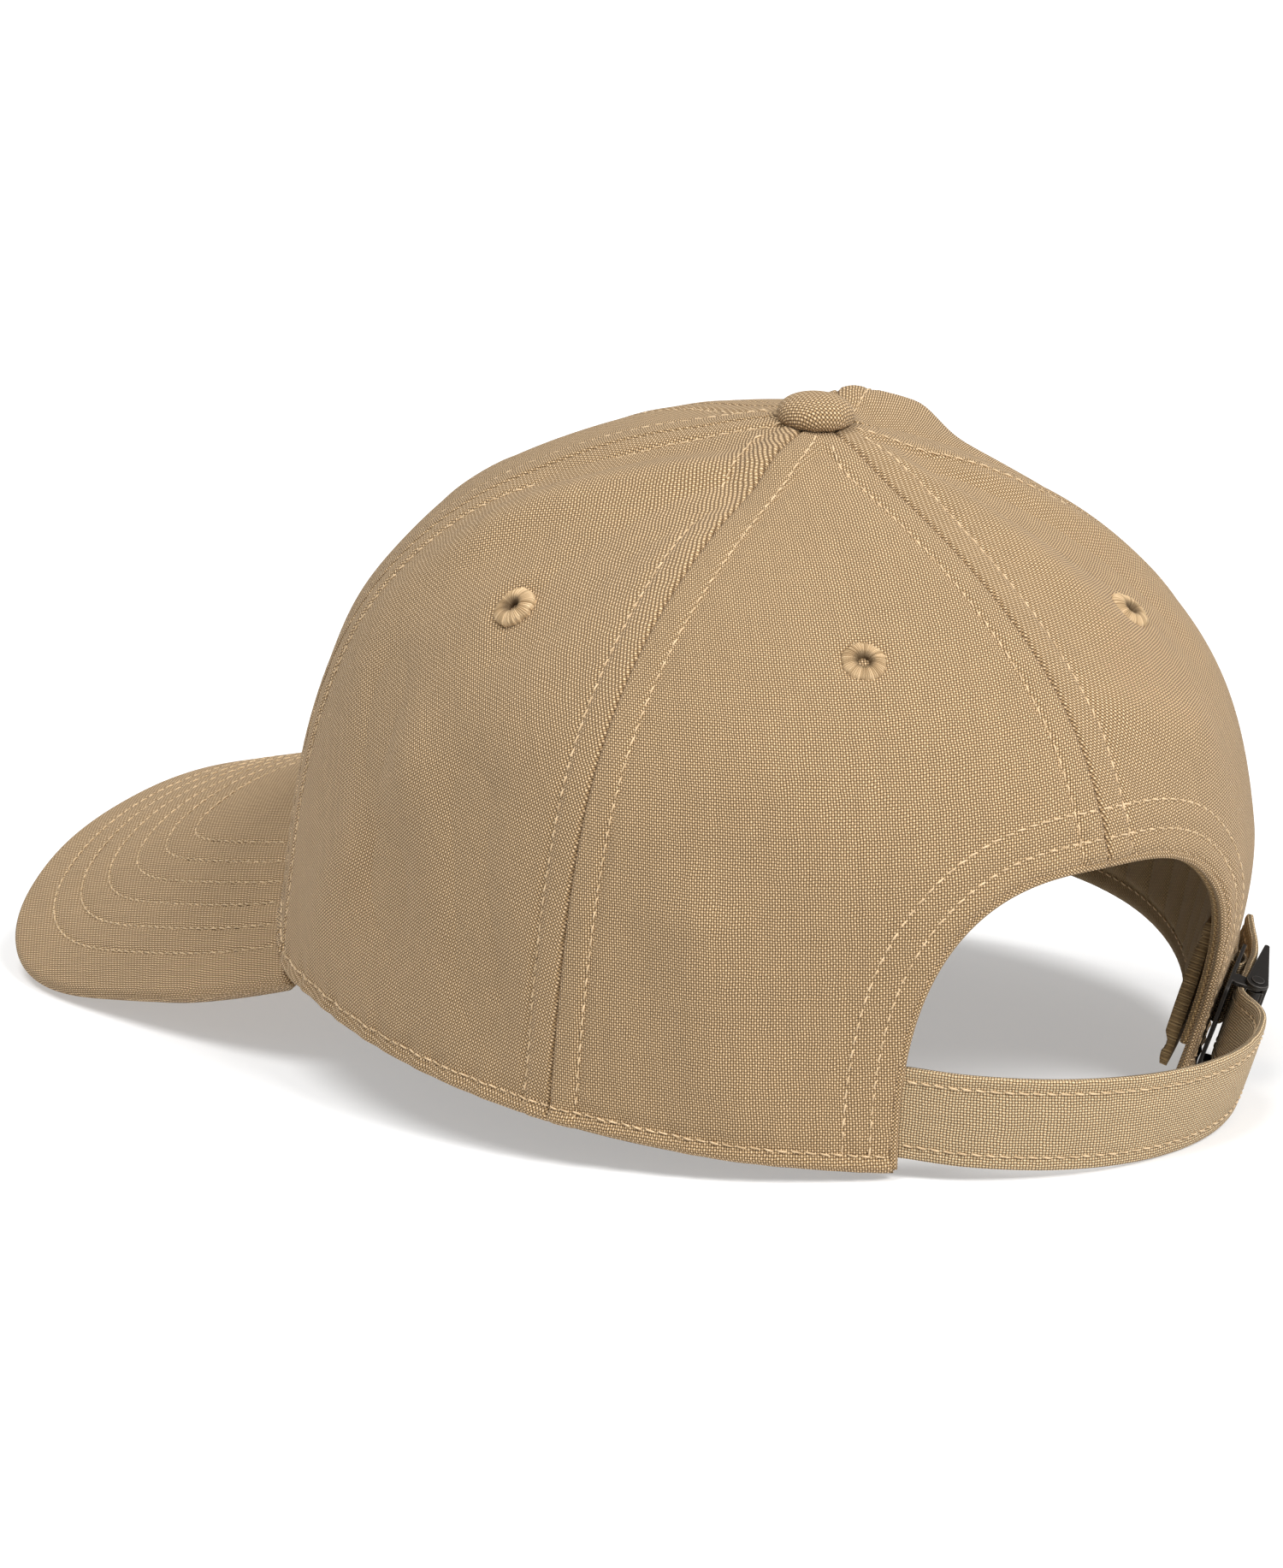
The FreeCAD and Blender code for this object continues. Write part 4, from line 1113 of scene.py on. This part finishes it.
def visor_cover(name, way, material):
    """Upper or lower cover, rounded over the edge to the middle line."""
    us = np.sin(np.linspace(-np.pi / 2, np.pi / 2, 381))
    inner = np.stack(visor_inner(VISOR_END * us, PANEL_THICK + VISOR_TURN_IN), -1)
    outer = np.stack(visor_outer(us), -1)
    length = np.linalg.norm(outer - inner, axis=-1)
    near, far = BOARD_CLEAR_LENGTHS
    turns = np.linspace(0, np.pi / 2, 8)[1:]
    rows = []
    for share in np.linspace(0, 1, 90):
        inset = (1 - share) * length + share * VISOR_EDGE
        rows.append((inset, VISOR_HALF + 0 * length))
    for turn in turns:
        low = BOARD_CLEAR * smooth((far - length) / (far - near)) * (turn < turns[-1])
        inset = VISOR_EDGE * (1 - np.sin(turn)) + 0 * length
        rows.append((inset, np.maximum(VISOR_HALF * np.cos(turn), low)))
    inset = np.array([row[0] for row in rows])
    height = np.array([row[1] for row in rows])
    fallen = np.maximum(VISOR_HALF - height, 0.0)[..., None]
    share = 1 - inset / length
    place = inner + (outer - inner) * share[..., None]
    across, y = place[..., 0], place[..., 1]
    distance = from_outline(across, y)
    step = across * 0.9 + y * 0.5
    cushion = np.zeros_like(distance)
    ripple = 0.30 + 0.08 * np.cos(2 * np.pi * step / STITCH_PITCH)
    for row in VISOR_ROWS:
        cushion = cushion - bump(distance - row, 0.75) * ripple
    cushion = cushion + 0.12 * np.sin(across * 0.16) * np.sin(y * 0.13)
    cushion = cushion - 0.35 * bump(distance, 0.6) * (height < 0.3)
    height = height + cushion * np.clip(height / VISOR_HALF, 0, 1)
    for end in (0, -1):
        side = outer[end] - inner[end]
        along = np.clip(((place - inner[end]) @ side) / (side @ side), 0, 1)
        from_end = np.linalg.norm(place - inner[end] - along[..., None] * side, axis=-1)
        height = height * np.sqrt(1 - (1 - np.clip(from_end / VISOR_EDGE, 0, 1)) ** 2)
    top = visor_sheet(across, y, height * way)[0]
    depth = visor_sheet(across, y, np.maximum(height - COVER_THICK, 0.0) * way)[0]
    uv = place + unit(outer - inner) * fallen
    return sheet_object(name, top, depth, uv, material)


def visor_rows(way):
    """Rows of stitching on the visor's upper or lower face."""
    rows = []
    ahead = np.gradient(OUTLINE, axis=0)
    inward = unit(np.stack([-ahead[:, 1], ahead[:, 0]], -1))
    middle = len(OUTLINE) // 2
    if inward[middle, 1] < 0:
        inward = -inward
    seam_angle = np.linspace(-VISOR_END, VISOR_END, 400)
    seam = np.stack(visor_inner(seam_angle, -0.2), -1)
    for row in VISOR_ROWS:
        line = OUTLINE + inward * row
        distance = from_outline(line[:, 0], line[:, 1])
        seam_y = np.interp(line[:, 0], seam[:, 0], seam[:, 1], left=1e3, right=1e3)
        good = (distance > row - 0.3) & ((line[:, 1] < seam_y) | (np.abs(line[:, 0]) > seam[-1, 0]))
        left = middle
        while left > 0 and good[left - 1]:
            left -= 1
        right = middle
        while right < len(line) - 1 and good[right + 1]:
            right += 1
        line = line[left:right + 1]
        points, outward = visor_sheet(line[:, 0], line[:, 1], np.full(len(line), (VISOR_HALF - 0.25) * way))
        rows.append((points, outward * way))
    return rows


top_cover = visor_cover("sewn_visor_top", 1, CANVAS["visor"])
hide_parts("visor_top_cover")
under_cover = visor_cover("sewn_visor_under", -1, CANVAS["under"])
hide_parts("visor_under_cover")
stitches("visor_topstitching", visor_rows(1) + visor_rows(-1), VISOR_THREAD, radius=0.18)


# ---------------------------------------------------------------- clasp frame and strap
def clasp_axes():
    """The clasp's place on the crown, and its directions along the strap, across it and outwards."""
    rise = rise_at(CLASP_HEIGHT)
    angle = np.array(CLASP_ANGLE)
    outward = crown_axes(angle, rise)[2]
    level = unit(np.cross([0, 0, 1], outward))
    lift = math.radians(CLASP_RISE)
    along = level * math.cos(lift) + np.cross(outward, level) * math.sin(lift)
    return crown(angle, rise), along, np.cross(outward, along), outward


CLASP_ORIGIN, CLASP_ALONG, CLASP_WIDTH, CLASP_OUT = clasp_axes()
CLASP_DEGREE = float(crown_axes(np.array(CLASP_ANGLE), rise_at(CLASP_HEIGHT))[3])


def clasp_point(x, y, z):
    """Point in the clasp's own millimetres."""
    return CLASP_ORIGIN + CLASP_ALONG * (x - CLASP_MIDDLE) + CLASP_WIDTH * y + CLASP_OUT * z


def beside_clasp(x, lift):
    """Point above the panel straight ahead of the clasp."""
    angle = np.array(CLASP_ANGLE + (x - CLASP_MIDDLE) / CLASP_DEGREE)
    rise = rise_at(clasp_point(x, 0, 0)[2])
    return crown(angle, rise) + crown_axes(angle, rise)[2] * lift


def strap_line():
    """Middle line of the strap from its sewn end to its tail, with its width's directions."""
    line = []
    rise = rise_at(STRAP_HEIGHT)
    sewn_up = crown_axes(np.array(150.0), rise)[1]
    for angle in STRAP_SEWN:
        outward = crown_axes(np.array(angle), rise)[2]
        line.append((crown(np.array(angle), rise) - outward * STRAP_DEPTH, sewn_up))
    first, last = STRAP_BOW_TURN
    for turn in np.linspace(first, last, 11):
        share = smooth((first - turn) / (first - last))
        x = STRAP_BOW_CENTRE[0] + STRAP_BOW_RADIUS * math.sin(math.radians(turn))
        y = STRAP_BOW_CENTRE[1] + STRAP_BOW_RADIUS * math.cos(math.radians(turn))
        up = unit(sewn_up * (1 - share) + CLASP_WIDTH * share)
        line.append((np.array([x, y, STRAP_HEIGHT - STRAP_DROP * share]), up))
    for x in np.linspace(5.0, 18.5, 4):
        line.append((clasp_point(x, 0, STRAP_IN_CLASP), CLASP_WIDTH))
    for x, lift in STRAP_TAIL:
        line.append((beside_clasp(x, lift), CLASP_WIDTH))
    return np.array([p for p, up in line]), np.array([up for p, up in line])


def ribbon(name, middle, width_way, half_width, half_thick, material, puff=0.0, rows=()):
    """A folded strap: rounded edges, and dents along its rows of stitching."""
    around = 56
    ahead = unit(np.gradient(middle, axis=0))
    width_way = unit(width_way - ahead * dot(width_way, ahead)[:, None])
    out = np.cross(ahead, width_way)
    reach = lengths_along(middle)
    turn = np.linspace(0, 2 * np.pi, around + 1)[:-1]
    side = np.sign(np.cos(turn)) * np.abs(np.cos(turn)) ** 0.75 * half_width
    lift = np.sign(np.sin(turn)) * np.abs(np.sin(turn)) ** 0.30 * half_thick
    dent = np.zeros_like(side)
    for row in rows:
        dent = dent + 0.22 * bump(np.abs(side) - (half_width - row), 0.7)
    swell = puff * bump(np.abs(side) - half_width + 0.9, 0.7)
    lift = np.sign(lift) * np.maximum(np.abs(lift) - dent + swell, 0.05) * (np.abs(lift) > 1e-6)
    points = middle[:, None] + width_way[:, None] * side[None, :, None] + out[:, None] * lift[None, :, None]
    arc = np.concatenate([[0], np.cumsum(np.hypot(np.diff(side), np.diff(lift)))])
    uv = np.stack(np.broadcast_arrays(arc[None, :], reach[:, None]), -1)
    faces = tube_faces(len(middle), around, False)
    piece = mesh_object(name, points.reshape(-1, 3), faces, uv.reshape(-1, 2), material)
    stitch_rows = []
    for row in rows:
        for way in (-1, 1):
            for face in (-1, 1):
                line = middle + width_way * way * (half_width - row) + out * face * (half_thick - 0.2)
                stitch_rows.append((line, out * face))
    return piece, stitch_rows


line, width_way = strap_line()
knots = lengths_along(line)
fine = np.linspace(0, knots[-1], 420)
strap, strap_rows = ribbon("sewn_strap", spline(knots, line, fine), spline(knots, width_way, fine),
                           STRAP_HALF_WIDTH, STRAP_HALF_THICK, CANVAS["strap"], puff=0.08, rows=(2.5,))
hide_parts("strap")
stitches("strap_stitching", strap_rows, TOPSTITCH, radius=0.2)


def anchor_tab():
    """Folded tab: it lies on the panel, passes up through the clasp's slot and back over the bar."""
    path = [beside_clasp(x, 0.5) for x in (29.0, 25.0, 21.5, 18.0)]
    path += [clasp_point(15.3, 0, 0.7), clasp_point(15.2, 0, 1.6), clasp_point(15.9, 0, 2.15),
             clasp_point(19.0, 0, 2.15), clasp_point(19.7, 0, 1.6), clasp_point(19.8, 0, 0.7)]
    path = np.array(path)
    at = lengths_along(path)
    fine = np.linspace(0, at[-1], 90)
    middle = spline(at, path, fine)
    width_way = np.repeat(CLASP_WIDTH[None], len(middle), 0)
    piece = ribbon("sewn_anchor_tab", middle, width_way, TAB_HALF_WIDTH, TAB_HALF_THICK, CANVAS["strap"])[0]
    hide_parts("anchor_tab")


anchor_tab()

# ---------------------------------------------------------------- carried-over CAD pieces
for node, material in (("clasp_base", GUNMETAL), ("clasp_pin", GUNMETAL), ("clasp_lever", GUNMETAL),
                       ("button_shell", STEEL), ("button_tack", STEEL), ("visor_board", BOARD)):
    thing = frame["nodes"][node]
    thing.data.materials.clear()
    thing.data.materials.append(material)


# ---------------------------------------------------------------- floor, light and camera
def floor():
    """A white table whose own glow keeps the shadows a soft grey."""
    mesh = bpy.data.meshes.new("floor")
    size = 6.0
    corners = [(-size, -size, 0), (size, -size, 0), (size, size, 0), (-size, size, 0)]
    mesh.from_pydata(corners, [], [(0, 1, 2, 3)])
    thing = bpy.data.objects.new("floor", mesh)
    bpy.context.scene.collection.objects.link(thing)
    material = surface("pale floor", Base_Color=(0.62, 0.62, 0.62), Roughness=1.0, Specular_IOR_Level=0.0,
                       Emission_Color=(1.0, 1.0, 1.0), Emission_Strength=0.38)[0]
    mesh.materials.append(material)


def soft_sun(name, azimuth, elevation, spread, strength):
    """Parallel light from a wide soft source. azimuth is an angle round the crown."""
    data = bpy.data.lights.new(name, "SUN")
    data.angle = math.radians(spread)
    data.energy = strength
    turn = math.radians(azimuth)
    lift = math.radians(elevation)
    towards = Vector((math.sin(turn) * math.cos(lift), -math.cos(turn) * math.cos(lift), math.sin(lift)))
    thing = bpy.data.objects.new(name, data)
    thing.rotation_euler = towards.to_track_quat("Z", "Y").to_euler()
    thing.location = towards
    bpy.context.scene.collection.objects.link(thing)


def camera():
    """Behind and to the left of the cap, a little above it, as the object is seen."""
    azimuth = math.radians(142.527)
    elevation = math.radians(18.695)
    roll = math.radians(2.416)
    distance = 1388.16
    back = np.array([math.sin(azimuth) * math.cos(elevation), -math.cos(azimuth) * math.cos(elevation),
                     math.sin(elevation)])
    right = np.array([math.cos(azimuth), math.sin(azimuth), 0])
    up = np.cross(back, right)
    right, up = right * math.cos(roll) + up * math.sin(roll), up * math.cos(roll) - right * math.sin(roll)
    place = np.array([0, -15.0, 60.0]) + right * -15.54 + up * -24.14 + back * distance
    data = bpy.data.cameras.new("camera")
    data.lens = 168.55
    data.sensor_width = 36.0
    data.clip_start = 0.05
    data.clip_end = 30.0
    thing = bpy.data.objects.new("camera", data)
    axes = np.stack([TURN @ right, TURN @ up, TURN @ back], 1)
    thing.matrix_world = Matrix([[*axes[i], placed(place)[i]] for i in range(3)] + [[0, 0, 0, 1]])
    bpy.context.scene.collection.objects.link(thing)
    bpy.context.scene.camera = thing


floor()
soft_sun("overhead softbox", 85.0, 74.0, 34.0, 2.05)
soft_sun("right rear key", -172.0, 42.0, 25.0, 2.8)
world = bpy.data.worlds.new("studio")
world.use_nodes = True
world.node_tree.nodes["Background"].inputs[0].default_value = (1, 1, 1, 1)
world.node_tree.nodes["Background"].inputs[1].default_value = 0.28
bpy.context.scene.world = world
bpy.context.scene.view_settings.view_transform = "Standard"
camera()
